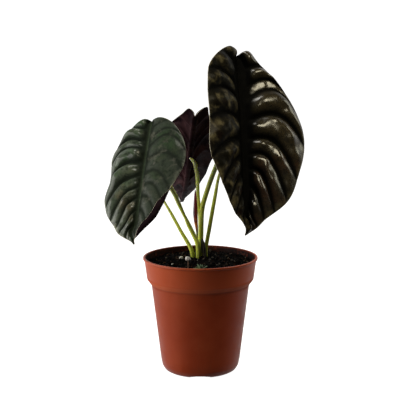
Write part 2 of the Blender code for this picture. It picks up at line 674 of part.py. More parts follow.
def stalk_end(leaf, route):
    """Where the stalk stops under the blade, clear of it by the gap, and its radius there."""
    upper = leaf_axes(leaf)[2]
    seat = Vector(leaf["seat"]) * MM
    radius = route[-1][3] * STALK_END_SHARE
    heading = (seat - Vector(route[-1][:3]) * MM).normalized()
    leaning = heading.cross(upper).length
    under = (MIDRIB_DEPTH + BLADE_THICKNESS / 2) * math.cos(math.radians(leaf["fold"]))
    place = seat - upper * (under + GAP + radius * MM * leaning)
    return (*place, radius)


def build_toadstool(finish):
    """A small bell-shaped cap on a thin stem."""
    low = soil_level(*TOADSTOOL_AT) - TOADSTOOL_DEPTH
    top = soil_level(*TOADSTOOL_AT) + TOADSTOOL_HEIGHT
    stem, cap, rise = TOADSTOOL_STEM_RADIUS, TOADSTOOL_CAP_RADIUS, TOADSTOOL_CAP_HEIGHT
    profile = (
        (0.0, low),
        (stem, low),
        (stem, top - TOADSTOOL_NECK * rise),
        *((cap * share, top - drop * rise) for share, drop in TOADSTOOL_CAP),
        (0.0, top),
    )
    turned("toadstool", profile, finish, sides=TOADSTOOL_SIDES, axis=TOADSTOOL_AT)
    return low


def build_seedling(finish):
    """A small tuft of pointed leaves on a low mound, joined in one body."""
    x, y = SEEDLING_AT
    level = soil_level(x, y)
    low = level - SEEDLING_DEPTH
    mound_profile = (
        (0.0, low),
        (SEEDLING_RADIUS, low),
        *((SEEDLING_RADIUS * share, level + height) for share, height in SEEDLING_MOUND),
    )
    seedling = turned("seedling", mound_profile, finish, sides=SEEDLING_SIDES, axis=SEEDLING_AT)
    leaves = []
    lowest, steepest = SEEDLING_RISE
    for number in range(SEEDLING_LEAVES):
        turn = 2 * math.pi * number * SEEDLING_TURN
        rise = math.radians(lowest + (steepest - lowest) * (number * 5 % SEEDLING_LEAVES) / SEEDLING_LEAVES)
        leaves.append(seedling_leaf(number, (x, y, level + SEEDLING_ROOT), turn, rise, finish))
    group = bpy.data.collections.new("seedling_leaves")
    bpy.context.scene.collection.children.link(group)
    for leaf in leaves:
        bpy.context.scene.collection.objects.unlink(leaf)
        group.objects.link(leaf)
    join = seedling.modifiers.new("join", "BOOLEAN")
    join.operation = "UNION"
    join.operand_type = "COLLECTION"
    join.collection = group
    join.solver = "EXACT"
    graph = bpy.context.evaluated_depsgraph_get()
    joined = bpy.data.meshes.new_from_object(seedling.evaluated_get(graph))
    seedling.modifiers.clear()
    seedling.data = joined
    for leaf in leaves:
        bpy.data.objects.remove(leaf, do_unlink=True)
    bpy.data.collections.remove(group)
    return low


def seedling_leaf(number, root, turn, rise, finish):
    """One pointed leaf with a four-cornered section, widest past its middle and bending over."""
    out = Vector((math.cos(turn), math.sin(turn), 0.0))
    across = Vector((-out.y, out.x, 0.0))
    upwards = Vector((0.0, 0.0, 1.0))
    points = []
    for share, breadth in SEEDLING_LEAF_SHAPE:
        lean = rise - math.radians(SEEDLING_BEND) * share
        heading = out * math.cos(lean) + upwards * math.sin(lean)
        middle = Vector(root) + SEEDLING_LEAF_LENGTH * share * heading
        wide = across * SEEDLING_LEAF_WIDTH / 2 * breadth
        thick = (upwards * math.cos(lean) - out * math.sin(lean)) * SEEDLING_LEAF_THICKNESS / 2
        thick *= max(breadth, SEEDLING_LEAST_THICKNESS)
        points += [middle + wide, middle + thick, middle - wide, middle - thick]
    faces = [(0, 1, 2, 3)]
    for ring in range(len(SEEDLING_LEAF_SHAPE) - 1):
        for corner in range(4):
            low, after = 4 * ring + corner, 4 * ring + (corner + 1) % 4
            faces.append((low, after, after + 4, low + 4))
    faces.append(tuple(len(points) - 1 - n for n in range(4)))
    return mesh_object(f"seedling_leaf_{number}", points, faces, finish)


def build_grain(number, x, y, radius, finish):
    """A rough white grain in a shallow pocket of the soil. It returns its lowest point."""
    shell = bmesh.new()
    bmesh.ops.create_icosphere(shell, subdivisions=1, radius=radius)
    centre = Vector((x, y, soil_level(x, y) + radius * (1 - GRAIN_SUNK_SHARE)))
    for vertex in shell.verts:
        swirl = math.sin(5 * vertex.co.x / radius + 7 * number) * math.cos(4 * vertex.co.y / radius)
        vertex.co *= 1 + GRAIN_DENT * swirl
        vertex.co.z *= GRAIN_FLATNESS
        vertex.co += centre
    lowest = min(vertex.co.z for vertex in shell.verts)
    mesh = bpy.data.meshes.new(f"perlite_{number}")
    shell.to_mesh(mesh)
    shell.free()
    mesh.shade_smooth()
    mesh.materials.append(finish)
    obj = bpy.data.objects.new(f"perlite_{number}", mesh)
    bpy.context.scene.collection.objects.link(obj)
    return lowest


def build_leaves(finishes, stalk_finish):
    for seed, (key, leaf) in enumerate(LEAVES.items()):
        build_blade(f"blade_{key}", leaf, finishes[key], seed)
        route = STALKS[key]
        routed(f"stalk_{key}", route, stalk_finish, STALK_STATIONS, stalk_end(leaf, route))


def stalk_pockets(finish):
    """Plain holes in the soil, down to the corm that the stalks stand on."""
    pockets = []
    for number, route in enumerate([*STALKS.values(), NEW_LEAF, DRIED_SHEATH]):
        x, y, _, radius = (value * MM for value in route[0])
        name = f"stalk_hole_{number}"
        pockets.append(
            upright_cutter(name, (x, y), radius + HOLE_CLEARANCE, CORM_TOP - MM, POCKET_TOP, finish)
        )
    return pockets


def main():
    clear_scene()
    terracotta = material("terracotta_plastic", (0.26, 0.075, 0.038), 0.45)
    earth = material("potting_soil", (0.018, 0.012, 0.009), 0.95)
    bronze = material("bronze_leaf", (0.035, 0.034, 0.018), 0.28)
    grey_green = material("grey_green_leaf", (0.075, 0.095, 0.075), 0.38)
    purple = material("purple_leaf", (0.055, 0.028, 0.035), 0.38)
    green = material("green_stalk", (0.22, 0.27, 0.065), 0.42)
    corm_skin = material("corm_skin", (0.16, 0.09, 0.05), 0.85)
    red = material("new_leaf_red", (0.19, 0.025, 0.035), 0.45)
    brown = material("dried_sheath", (0.10, 0.065, 0.04), 0.9)
    white = material("perlite_white", (0.75, 0.74, 0.68), 0.9)
    cream = material("toadstool_cream", (0.62, 0.60, 0.55), 0.8)
    moss = material("seedling_green", (0.20, 0.30, 0.18), 0.6)

    build_pot(terracotta)
    finishes = {
        "right": bronze, "left": grey_green, "rear": purple, "back_right": bronze, "back_left": grey_green,
    }
    build_leaves(finishes, green)
    routed("new_leaf", NEW_LEAF, red, NEW_LEAF_STATIONS)
    routed("dried_sheath", DRIED_SHEATH, brown, SHEATH_STATIONS)
    turned("corm", corm_profile(), corm_skin, sides=CORM_SIDES, axis=CROWN)
    pockets = stalk_pockets(earth)
    pockets.append(turned("corm_hollow", corm_profile(GAP), earth, sides=CORM_SIDES, axis=CROWN))
    for number, (x, y, radius) in enumerate(GRAINS):
        at = (x * MM, y * MM)
        low = build_grain(number, *at, radius * MM, white) - GAP
        width = radius * MM + GRAIN_CLEARANCE
        pockets.append(upright_cutter(f"grain_pocket_{number}", at, width, low, POCKET_TOP, earth))
    low = build_toadstool(cream) - GAP
    width = TOADSTOOL_STEM_RADIUS + HOLE_CLEARANCE
    pockets.append(upright_cutter("toadstool_hole", TOADSTOOL_AT, width, low, POCKET_TOP, earth))
    low = build_seedling(moss) - GAP
    width = SEEDLING_RADIUS + GAP
    pockets.append(
        upright_cutter("seedling_pocket", SEEDLING_AT, width, low, POCKET_TOP, earth, SEEDLING_SIDES)
    )
    build_soil(earth, pockets)


main()
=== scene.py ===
"""The looks of a young alocasia with quilted leaves, in a round nursery pot.

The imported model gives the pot, the soil and every leaf their place. Each piece made here, but for the loose
crumbs, stands for one of its nodes, with the same outline and posture and a finer surface.
Metres, +Z up; the two large leaves face -Y.
"""

from math import ceil, cos, dist, exp, hypot, pi, radians, sin, sqrt, tau

import bmesh
import bpy
import numpy as np
from mathutils import Matrix, Vector, noise


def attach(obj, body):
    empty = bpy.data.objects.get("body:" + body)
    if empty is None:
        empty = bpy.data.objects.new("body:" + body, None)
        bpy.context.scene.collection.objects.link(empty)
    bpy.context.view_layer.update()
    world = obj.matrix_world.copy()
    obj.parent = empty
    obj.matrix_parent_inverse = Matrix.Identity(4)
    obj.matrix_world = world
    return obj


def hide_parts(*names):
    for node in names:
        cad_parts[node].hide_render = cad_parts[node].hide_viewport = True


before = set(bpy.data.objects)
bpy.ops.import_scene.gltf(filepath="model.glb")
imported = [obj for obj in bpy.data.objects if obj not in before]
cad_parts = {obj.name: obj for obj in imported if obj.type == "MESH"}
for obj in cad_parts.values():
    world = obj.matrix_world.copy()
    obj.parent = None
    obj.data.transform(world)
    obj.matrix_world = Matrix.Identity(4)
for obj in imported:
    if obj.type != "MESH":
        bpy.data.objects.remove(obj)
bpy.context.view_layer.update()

MM = 0.001
BODY = "root"

# Camera
CAMERA_AT = (0.0101, -1.4661, 0.4380)
CAMERA_PITCH = 10.3
SENSOR = 36.0
LENS = 122.57

# The even light on the plant: from the dim room in front of it, and from the white backdrop behind and below
LIGHT_AHEAD = 0.05
LIGHT_BEHIND = 0.75
BACKDROP_WAY = (0.0, 0.93, -0.37)
SEEN_STRENGTH = 1.2
WHITE = (1.0, 1.0, 1.0)

# Pot
POT_WIDTH = 120 * MM
POT_HEIGHT = 122 * MM
POT_FOOT_WIDTH = 67 * MM
FLOOR_RADIUS = 37 * MM
POT_SIDES = 192
WALL = 1.5 * MM
FLOOR = 4.5 * MM
LIP_HEIGHT = 1.8 * MM
LIP_PROUD = 1.3 * MM
BAND_DEPTH = 23 * MM
BAND_TAPER = 2.8 * MM
STEP_DEPTH = 6 * MM
BODY_TOP_RADIUS = 51.3 * MM
BODY_FOOT_RADIUS = 41.5 * MM
CORNER_HEIGHT = 13 * MM
DRAIN_TURNS = np.radians((0, 90, 180, 270))
DRAIN_RADIUS = 4 * MM
DRAIN_RING = 24 * MM
SHARP_ANGLE = 40
CHANNEL_START = 18 * MM
CHANNEL_WIDTH = 21 * MM
CHANNEL_DEPTH = 2.8 * MM
# Where the pot's paint changes: its step and collar, painted paler as painted light, the dark line at the
# step's foot, painted shade, the soil-stained inside with painted shade, and the dirt on the front lip by
# height, towards the front and from side to side
STEP_AT = 96.5 * MM
SHADE_LINE_AT = 94.3 * MM
COLLAR_LIGHT_RISE = (93.5 * MM, 94.5 * MM)
STAIN_AND_SHADE_FADE = (122.2 * MM, 119.5 * MM)
DIRT_RISE = (116.5 * MM, 120.5 * MM)
DIRT_FRONT = (-35 * MM, -55 * MM)
DIRT_SIDES = (-22 * MM, -6 * MM, 4 * MM, 18 * MM)

# Soil
CROWN = (-0.5 * MM, 16 * MM)
SOIL_EDGE_LEVEL = 113.5 * MM
SOIL_CROWN_LEVEL = 118.5 * MM
SOIL_BUMP = 0.6 * MM
SOIL_RELIEF = ((0.9, 6.0), (0.6, 2.6), (0.35, 1.2))  # height and size in mm of each layer of crumbly relief
SOIL_RINGS = 84
SOIL_SIDES = 224
STALK_DEPTH = 11 * MM
SOIL_GAP = 0.3 * MM
SOIL_SIDE_LEVELS = (100 * MM, 92 * MM, 60 * MM, 13 * MM, FLOOR + SOIL_GAP)
# What lies loose on it: lumps, slim chips, and lumps at the crown, each with its least and most size in mm.
# The sizes of the first lumps are raised to a power, so more of them are small.
CRUMBS = 760
CRUMB_SIZES = (0.45, 1.5)
CRUMB_POWER = 1.3
CHIPS = 70
CHIP_SIZES = ((2.0, 0.35, 0.2), (4.2, 0.7, 0.45))
CROWN_CRUMBS = 70
CROWN_CRUMB_SIZES = (0.9, 1.9)
CROWN_REACH = 13 * MM
CRUMB_MARGIN = 2.2 * MM

# Blades
BLADE_THICKNESS = 0.7 * MM
MARGIN_THICKNESS = 0.42 * MM
MARGIN_BULGE = 0.6
MIDRIB_DEPTH = 1.2 * MM
COAT_ROUGHNESS = 0.20
MARGIN_LINE_START = 0.93
LINES_BETWEEN_VEINS = 14
COLUMNS = 36
COLUMN_CROWDING = 1.3
MARGIN_COLUMNS = 14
MARGIN_COLUMN = 0.80
QUILT_CAP = 22 * MM
QUILT_ONSET = 0.11
MARGIN_CALM = 0.9
VALLEY_SHARPNESS = 0.75
GROOVE_LIMIT = 0.30
# How much wider the band of painted shade beside the midrib is than the sunken band
PAINTED_SHADE_BAND = 1.35
SWELL = (0.85, 1.15)
VEIN_WIDTH = 0.8 * MM
MIDRIB_WIDTH = 1.1 * MM
NOISE_SHIFT = np.array((17.3, 5.7, 11.1))
WAVE_LENGTH = 13 * MM
WAVE_SHARE = 0.45
BLISTER_LENGTH = 6 * MM
BLISTER_HEIGHT = 2.2 * MM
PLEAT_WIDTH = 0.13
PLEAT_REACH = 8 * MM
PLEAT_SHARE = 0.5
RIB_HEIGHT = 0.5 * MM
MIDRIB_HEIGHT = 1.6 * MM
CURL_REACH = (0.58, 0.74, 0.95, 1.0)
MOST_CURL = 0.45
CURL_RADIUS = 2.0 * MM
CURL_STEEPNESS = 155
BOW_LATENESS = 1.2
ARCH_WIDTH_SHARE = 0.30
HOOK_END = 1.02
MARGIN_SAMPLES = 160
# Where the half-breadths are measured, as shares of the blade behind its seat and ahead of it
STATIONS = (-1.0, -0.80, -0.42, 0.03, 0.23, 0.47, 0.70, 0.86, 0.93, 0.97)
# Each vein's root on the midrib, its end along the margin and its bow, as shares
VEINS = np.array((
    (-1.00, 0.00, 0.00),
    (-0.69, 0.13, 0.00),
    (-0.28, 0.28, 0.07),
    (-0.05, 0.38, 0.11),
    (0.14, 0.50, 0.10),
    (0.27, 0.66, 0.10),
    (0.395, 0.77, 0.12),
    (0.505, 0.845, 0.10),
    (0.64, 0.90, 0.07),
    (0.79, 0.95, 0.03),
    (1.00, 1.00, 0.00),
))

# What the plainer leaves share
PLAIN = {"hook": (0, 0.86), "quilt": (0.20, 0.20), "bow": (1, 1), "groove": (2.0, 2.0), "curl": (0, 0)}
# The same postures and half-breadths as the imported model's blades, in mm and degrees. turns are the way that
# the blade faces, its tilt back and its lean. droop is its bend ahead of the seat and behind it, in radians
# per metre, and hook is how far the tip swings aside and the share of the length where that starts.
# flat_bulge is a half, an interval between its veins, and the share of the height that the bulge has there.
# Other pairs are for the two halves; the photograph shows the second half of the right and left leaf at the
# right.
LEAVES = {
    "right": {
        "seat": (41.1, -25.0, 283.7), "turns": (42, 26.5, 18.5),
        "fold": 26, "arch": 23, "droop": (0.5, 0.7), "hook": (-4.5, 0.86), "quilt": (0.28, 0.33),
        "bow": (0.35, 1.0), "groove": (7.0, 5.0), "curl": (0, 0), "flat_bulge": (1, 2, 0.16),
        "ahead": 139, "behind": 63, "notch": 57,
        "halves": ((9, 31, 51, 55, 54, 55, 38, 22, 11, 3), (12, 22, 45.5, 65, 71, 62, 47.5, 22.5, 9, 3)),
    },
    "left": {
        "seat": (-55.0, -20.0, 236.3), "turns": (-38, 38, -18.5),
        "fold": 19, "arch": 40, "droop": (0.6, 1.0), "hook": (4.4, 0.76), "quilt": (0.36, 0.06),
        "bow": (0.6, 1.0), "groove": (1.6, 2.0), "curl": (0.0, 9.0),
        "ahead": 108, "behind": 38.5, "notch": 38,
        "halves": ((11, 21, 32.5, 41.5, 38.5, 43, 32, 16, 7, 2), (10, 25, 38, 47, 48, 38.5, 30, 20.7, 11, 2)),
    },
    "rear": {
        **PLAIN, "seat": (-11.2, 42.0, 221.8), "turns": (180.5, 34.5, -5.5),
        "fold": 43, "arch": 18.5, "droop": (-6.3, -1.1), "ahead": 120, "behind": 61, "notch": 57,
        "halves": ((16, 20, 35, 41, 32, 27, 19, 9.5, 4, 2), (8, 17, 32, 43, 39, 35, 20, 10, 5, 3)),
    },
    "back_right": {
        **PLAIN, "seat": (44.0, 52.0, 259.0), "turns": (128, 32, 6),
        "fold": 24, "arch": 34, "droop": (3.0, 2.0), "ahead": 78, "behind": 33, "notch": 28,
        "halves": ((7, 16, 27, 33, 34, 30, 21, 11, 5, 2), (7, 15, 26, 31, 32, 30, 22, 12, 6, 3)),
    },
    "back_left": {
        **PLAIN, "seat": (-64.0, 24.0, 225.5), "turns": (-146, 30, -5),
        "fold": 22, "arch": 36, "droop": (3.5, 2.0), "ahead": 66, "behind": 27, "notch": 22,
        "halves": ((6, 14, 22, 27, 28, 25, 18, 9, 5, 2), (6, 13, 22, 26, 27, 24, 17, 10, 5, 2)),
    },
}

# Paint of the blades' upper faces, of the bronze ones and of the grey green ones. near is the first half and
# far the second; coat is the clear coat of the two. The valleys are partly painted shade, and the halves
# differ by painted light and shade.
PAINT = {
    # valley: the grooves' colour, partly the veins' own dark colour and partly painted shade
    "valley": ((0.001, 0.001, 0.001), (0.010, 0.014, 0.009)),
    "bulge": ((0.026, 0.021, 0.010), (0.050, 0.064, 0.045)),
    "near_notch": ((0.034, 0.034, 0.016), (0.040, 0.080, 0.030)),
    "near_tip": ((0.085, 0.022, 0.010), (0.090, 0.076, 0.050)),
    # The bronze midrib is black, painted shade of its sunken groove; the grey green midrib is its own paler
    # green
    "midrib": ((0.001, 0.001, 0.001), (0.060, 0.085, 0.050)),
    "far_half_shading": ((0.030, 0.024, 0.012), (0.016, 0.020, 0.014)),
    "margin_line": ((0.085, 0.080, 0.055), (0.22, 0.23, 0.17)),
    "near_half_shade": (0.85, 0.0),
    "tip_dark": (0.45, 0.0),
    "cloud": ((0.001, 0.001, 0.001), (0.070, 0.072, 0.054)),
    "clouds": (0.55, 0.75),
    "near_tone_and_sheen": ((0.13, 0.108, 0.055), (0.070, 0.078, 0.058)),
    "blotches": (0.50, 0.8),
    "roughness": (0.42, 0.40),
    "gloss": (0.03, 0.05),
    "coat": ((0.06, 1.0), (0.42, 0.1)),
    "sheen": ((1.0, 0.90, 0.62), (0.94, 1.0, 0.90)),
}
BRONZE, GREY_GREEN = ({label: pair[column] for label, pair in PAINT.items()} for column in range(2))

# Stalks' routes: (x, y, z, radius) in mm
STALKS = {
    "right": (
        (-0.6, 15.5, 118.5, 2.7), (0.4, 15.5, 137, 2.7), (0.8, 15.5, 155, 2.7), (1.4, 15.5, 166, 2.6),
        (2.7, 15.3, 174.5, 2.6), (5.6, 14.8, 184.5, 2.5), (11.6, 12, 203, 2.5), (27, -1, 244, 2.2),
    ),
    "left": (
        (-2.2, 9.2, 118.5, 2.2), (-2.3, 9.2, 128, 2.2), (-3.9, 9, 136.5, 2.3), (-8.2, 8.5, 146, 2.3),
        (-12.9, 7.5, 156, 2.2), (-15.2, 6.7, 161.5, 1.7), (-17.4, 6, 166, 1.7), (-22.8, 4, 178.5, 2.2),
        (-26, 2, 186.5, 2.3), (-31, -0.5, 196, 2.3), (-42, -8, 216, 2.0),
    ),
    "rear": (
        (0.3, 22.5, 118.5, 2.1), (-0.1, 22.3, 143, 2.0), (-0.6, 22.3, 162, 2.0), (-1.6, 22.8, 173, 1.9),
        (-2.6, 24, 185, 1.9), (-3.1, 26.5, 200, 1.9), (-4.1, 30, 208, 1.9), (-6.6, 36, 216.5, 1.8),
    ),
    "back_right": (
        (5.5, 17.5, 118.5, 2.0), (5.7, 17.5, 126, 2.0), (7.1, 18, 135.5, 2.0), (8.9, 19.5, 145, 2.1),
        (12.1, 22.5, 163, 2.1), (15.6, 28, 181.5, 1.9), (19.2, 32.5, 200.5, 1.5), (27, 38, 225, 1.3),
        (36, 43, 247, 1.3),
    ),
    "back_left": (
        (-7.8, 12.2, 118.5, 2.2), (-9.2, 12.2, 126, 2.1), (-14.3, 12.3, 136, 2.0), (-19.9, 12.6, 145.5, 1.8),
        (-25, 13, 155, 1.7), (-30.2, 14, 164.5, 1.6), (-38.4, 15.5, 178.5, 1.2), (-49.5, 17, 199.5, 1.0),
        (-58, 18, 215, 1.0),
    ),
}
STALK_END_SHARE = 0.75
SEAT_DEPTH = 0.5 * MM
STALK_RINGS = 90
STALK_SIDES = 24
FOOT_CAP = 0.4
END_CAP = 0.15
STALK_RIBS = 7
STALK_RIB_DEPTH = 0.035
FOOT_FLARE = 0.16
FOOT_FLARE_REACH = 0.10

NEW_LEAF = (
    (-4.2, 20, 118.5, 1.1), (-3.4, 18.8, 138, 0.9), (-3.9, 18, 148, 1.4), (-4.9, 17.3, 156, 2.0),
    (-5.4, 16.8, 165, 2.4), (-5.3, 16.6, 174, 2.1), (-5.3, 16.6, 183, 1.4), (-5.5, 16.8, 190, 0.4),
)
DRIED_SHEATH = (
    (3.9, 11, 118.5, 1.7), (3.7, 10.9, 125, 2.2), (3, 10.9, 131, 2.2), (2, 10.9, 136.5, 1.4),
    (1.4, 11, 139.5, 0.4),
)

# Small things on the soil, the white grains as x, y and radius in mm
GRAINS = ((-20, 9, 2.2), (-29, -15, 1.1))
TOADSTOOL_AT = (-12.6 * MM, -32 * MM)
TOADSTOOL_HEIGHT = 13.5 * MM
TOADSTOOL_STEM_RADIUS = 0.65 * MM
TOADSTOOL_CAP_RADIUS = 3.0 * MM
TOADSTOOL_CAP_HEIGHT = 3.4 * MM
TOADSTOOL_DEPTH = 3 * MM
SEEDLING_AT = (0.2 * MM, -36 * MM)
SEEDLING_LEAVES = 15
GOLDEN_TURN = 0.382
SEEDLING_ROWS = 12
SEEDLING_COLUMNS = 7
SEEDLING_LEAF_LENGTH = 9.0 * MM
SEEDLING_LEAF_WIDTH = 2.8 * MM


def feed(tree, socket, value):
    """Links the socket to the value where that is a socket too, and otherwise sets it."""
    if isinstance(value, bpy.types.NodeSocket):
        tree.links.new(value, socket)
    elif isinstance(value, tuple) and len(value) == 3 and len(socket.default_value) == 4:
        socket.default_value = (*value, 1.0)
    else:
        socket.default_value = value


def add_node(tree, kind, inputs=(), output=0, **settings):
    """A new node with these settings and inputs, given as the socket that it makes."""
    node = tree.nodes.new(f"ShaderNode{kind}")
    for label, value in settings.items():
        setattr(node, label, value)
    for label, value in dict(inputs).items():
        feed(tree, node.inputs[label], value)
    return node.outputs[output] if node.outputs else None


class Material:
    """The nodes around one material's Principled shader, whose sockets are given by name, with _ for a space.

    The colour is laid down in layers.
    """

    def __init__(self, name, color=None, **values):
        self.material = bpy.data.materials.new(name)
        self.material.use_nodes = True
        self.tree = self.material.node_tree
        self.shader = self.tree.nodes["Principled BSDF"]
        self.color = color
        for label, value in values.items():
            self.set(label.replace("_", " "), value)
        self.place = self.node("TexCoord", (), "Object")

    def set(self, label, value):
        feed(self.tree, self.shader.inputs[label], value)

    def node(self, *form, **settings):
        return add_node(self.tree, *form, **settings)

    def attribute(self, name):
        return self.node("Attribute", (), "Fac", attribute_name=name)

    def axis(self, letter):
        return self.node("SeparateXYZ", {0: self.place}, letter)

    def noise(self, scale, detail=3.0, roughness=0.5, distortion=0.0, place=None):
        form = {"Scale": scale, "Detail": detail, "Roughness": roughness, "Distortion": distortion}
        return self.node("TexNoise", {"Vector": place or self.place, **form})

    def streaks(self, scale, detail):
        """Noise with its own scale along each axis."""
        return self.noise(1, detail, place=self.node("Mapping", {"Vector": self.place, "Scale": scale}))

    def math(self, operation, first, *others):
        """The operation on all the values, from left to right."""
        for other in others or (0.0,):
            first = self.node("Math", {0: first, 1: other}, operation=operation)
        return first

    def times(self, *values):
        return self.math("MULTIPLY", *values)

    def plus(self, *values):
        return self.math("ADD", *values)

    def spread(self, value, low, high, to_low=0.0, to_high=1.0):
        """The value's stretch from low to high, eased and moved to another stretch."""
        limits = {"From Min": low, "From Max": high, "To Min": to_low, "To Max": to_high}
        return self.node("MapRange", {"Value": value, **limits}, interpolation_type="SMOOTHSTEP")

    def between(self, value, start, full, past, end):
        """1 where the value lies from full to past, and 0 before start and after end."""
        return self.times(self.spread(value, start, full), self.spread(value, end, past))

    def around(self, value, centre, far, near, most=1.0):
        """The most within near of the centre, and 0 beyond far."""
        distance = self.math("ABSOLUTE", self.math("SUBTRACT", value, centre))
        return self.spread(distance, far, near, 0.0, most)

    def patches(self, scale, low, high, most=1.0, least=0.0, **form):
        """From least to most as noise of this scale passes from low to high."""
        return self.spread(self.noise(scale, **form), low, high, least, most)

    def mix(self, share, first, second):
        return self.node("Mix", {0: share, 6: first, 7: second}, 2, data_type="RGBA")

    def layer(self, share, color):
        """Lays another colour over the one so far."""
        self.color = self.mix(share, self.color, color)

    def speckle(self, color, *patches, **form):
        """Lays another colour over the one so far in patches."""
        self.layer(self.patches(*patches, **form), color)

    def ramp(self, value, stops):
        node = self.tree.nodes.new("ShaderNodeValToRGB")
        elements = node.color_ramp.elements
        while len(elements) < len(stops):
            elements.new(1.0)
        for element, (position, color) in zip(elements, stops):
            element.position = position
            element.color = (*color, 1.0)
        feed(self.tree, node.inputs[0], value)
        self.color = node.outputs[0]

    def finished(self, relief=None, depth=0.0, strength=1.0):
        """The material, with its colour set and its surface raised this deep by the relief."""
        self.set("Base Color", self.color)
        if relief:
            self.set("Normal", self.node("Bump", {"Height": relief, "Distance": depth, "Strength": strength}))
        return self.material


def linked(name, data):
    """A new object in the scene with this data."""
    obj = bpy.data.objects.new(name, data)
    bpy.context.scene.collection.objects.link(obj)
    return obj


def mesh_piece(name, points, faces, finishes, finish_of_face=None, attributes=None):
    """A closed mesh as a linked object with its faces turned outwards."""
    mesh = bpy.data.meshes.new(name)
    mesh.from_pydata(np.asarray(points, float).tolist(), [], faces)
    if finish_of_face is not None:
        mesh.polygons.foreach_set("material_index", finish_of_face)
    shell = bmesh.new()
    shell.from_mesh(mesh)
    bmesh.ops.recalc_face_normals(shell, faces=shell.faces)
    shell.to_mesh(mesh)
    shell.free()
    for label, values in (attributes or {}).items():
        mesh.attributes.new(label, "FLOAT", "POINT").data.foreach_set("value", np.asarray(values, float))
    mesh.shade_smooth()
    for finish in finishes:
        mesh.materials.append(finish)
    return linked(name, mesh)


def stands_for(piece, slot, *nodes):
    """The piece rides on the pot and is shown in place of these nodes."""
    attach(piece, BODY)
    if nodes:
        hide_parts(*nodes)


def smooth_curve(points, count):
    """Centripetal Catmull-Rom curve through the points."""
    p = np.array(points, float)
    p = np.vstack([2 * p[0] - p[1], p, 2 * p[-1] - p[-2]])
    knots = np.r_[0, np.cumsum(np.linalg.norm(np.diff(p[:, :3], axis=0), axis=1) ** 0.5)]
    t = np.linspace(knots[1], knots[-2], count)
    i = np.clip(np.searchsorted(knots, t, side="right") - 1, 1, len(p) - 3)

    def mixed(a, b, ta, tb):
        share = ((t - ta) / (tb - ta))[:, None]
        return (1 - share) * a + share * b

    k = [knots[i + step] for step in (-1, 0, 1, 2)]
    first = [mixed(p[i + n - 1], p[i + n], k[n], k[n + 1]) for n in range(3)]
    second = [mixed(first[n], first[n + 1], k[n], k[n + 2]) for n in range(2)]
    return mixed(second[0], second[1], k[1], k[2])


def noise_at(points, scale, shift=(0.0, 0.0, 0.0)):
    """Smooth noise, -1 to 1, at each of the points."""
    values = [noise.noise(Vector(p) * scale + Vector(shift)) for p in points.reshape(-1, 3)]
    return np.reshape(values, points.shape[:-1])


def unit_ball(subdivisions):
    """Vertices and faces of a ball of radius 1."""
    shell = bmesh.new()
    bmesh.ops.create_icosphere(shell, subdivisions=subdivisions, radius=1.0)
    points = np.array([v.co[:] for v in shell.verts])
    faces = np.array([[v.index for v in f.verts] for f in shell.faces])
    shell.free()
    return points, faces


def turned(profile, sides):
    """Rings of points round the Z axis, one ring for each radius and height of the profile."""
    turns = tau * np.arange(sides) / sides
    return [(radius * cos(t), radius * sin(t), height) for radius, height in profile for t in turns]


def skin(rings, sides):
    """Faces over rings of points numbered from 1, closed at both ends by point 0 and the last point."""
    faces = []
    last = rings * sides + 1
    for side in range(sides):
        after = (side + 1) % sides
        faces.append([0, 1 + after, 1 + side])
        for low in range(1, last - sides, sides):
            high = low + sides
            faces.append([low + side, low + after, high + after, high + side])
        faces.append([last, last - sides + side, last - sides + after])
    return faces


def grid_quads(grid):
    """The corners of each cell of a grid of vertex numbers."""
    return np.stack([grid[:-1, :-1], grid[1:, :-1], grid[1:, 1:], grid[:-1, 1:]], -1).reshape(-1, 4).tolist()


# Blades


def leaf_axes(leaf):
    """Unit vectors across the blade, along it towards the tip, and out of its upper face."""
    facing, tilt, lean = map(radians, leaf["turns"])
    upper = Vector((sin(facing) * cos(tilt), -cos(facing) * cos(tilt), sin(tilt)))
    down = Vector((0.0, 0.0, -1.0))
    tip = (down - down.dot(upper) * upper).normalized()
    side = tip.cross(upper)
    tip = cos(lean) * tip + sin(lean) * side
    return tip.cross(upper), tip, upper


def half_outline(leaf, breadths):
    """The flat margin of one half, from the notch round the lobe to the tip, as (along, across)."""
    along = [share * leaf["behind" if share < 0 else "ahead"] for share in STATIONS]
    points = [(-leaf["notch"], 0.0), *zip(along, breadths), (leaf["ahead"], 0.0)]
    return smooth_curve(points, MARGIN_SAMPLES) * MM


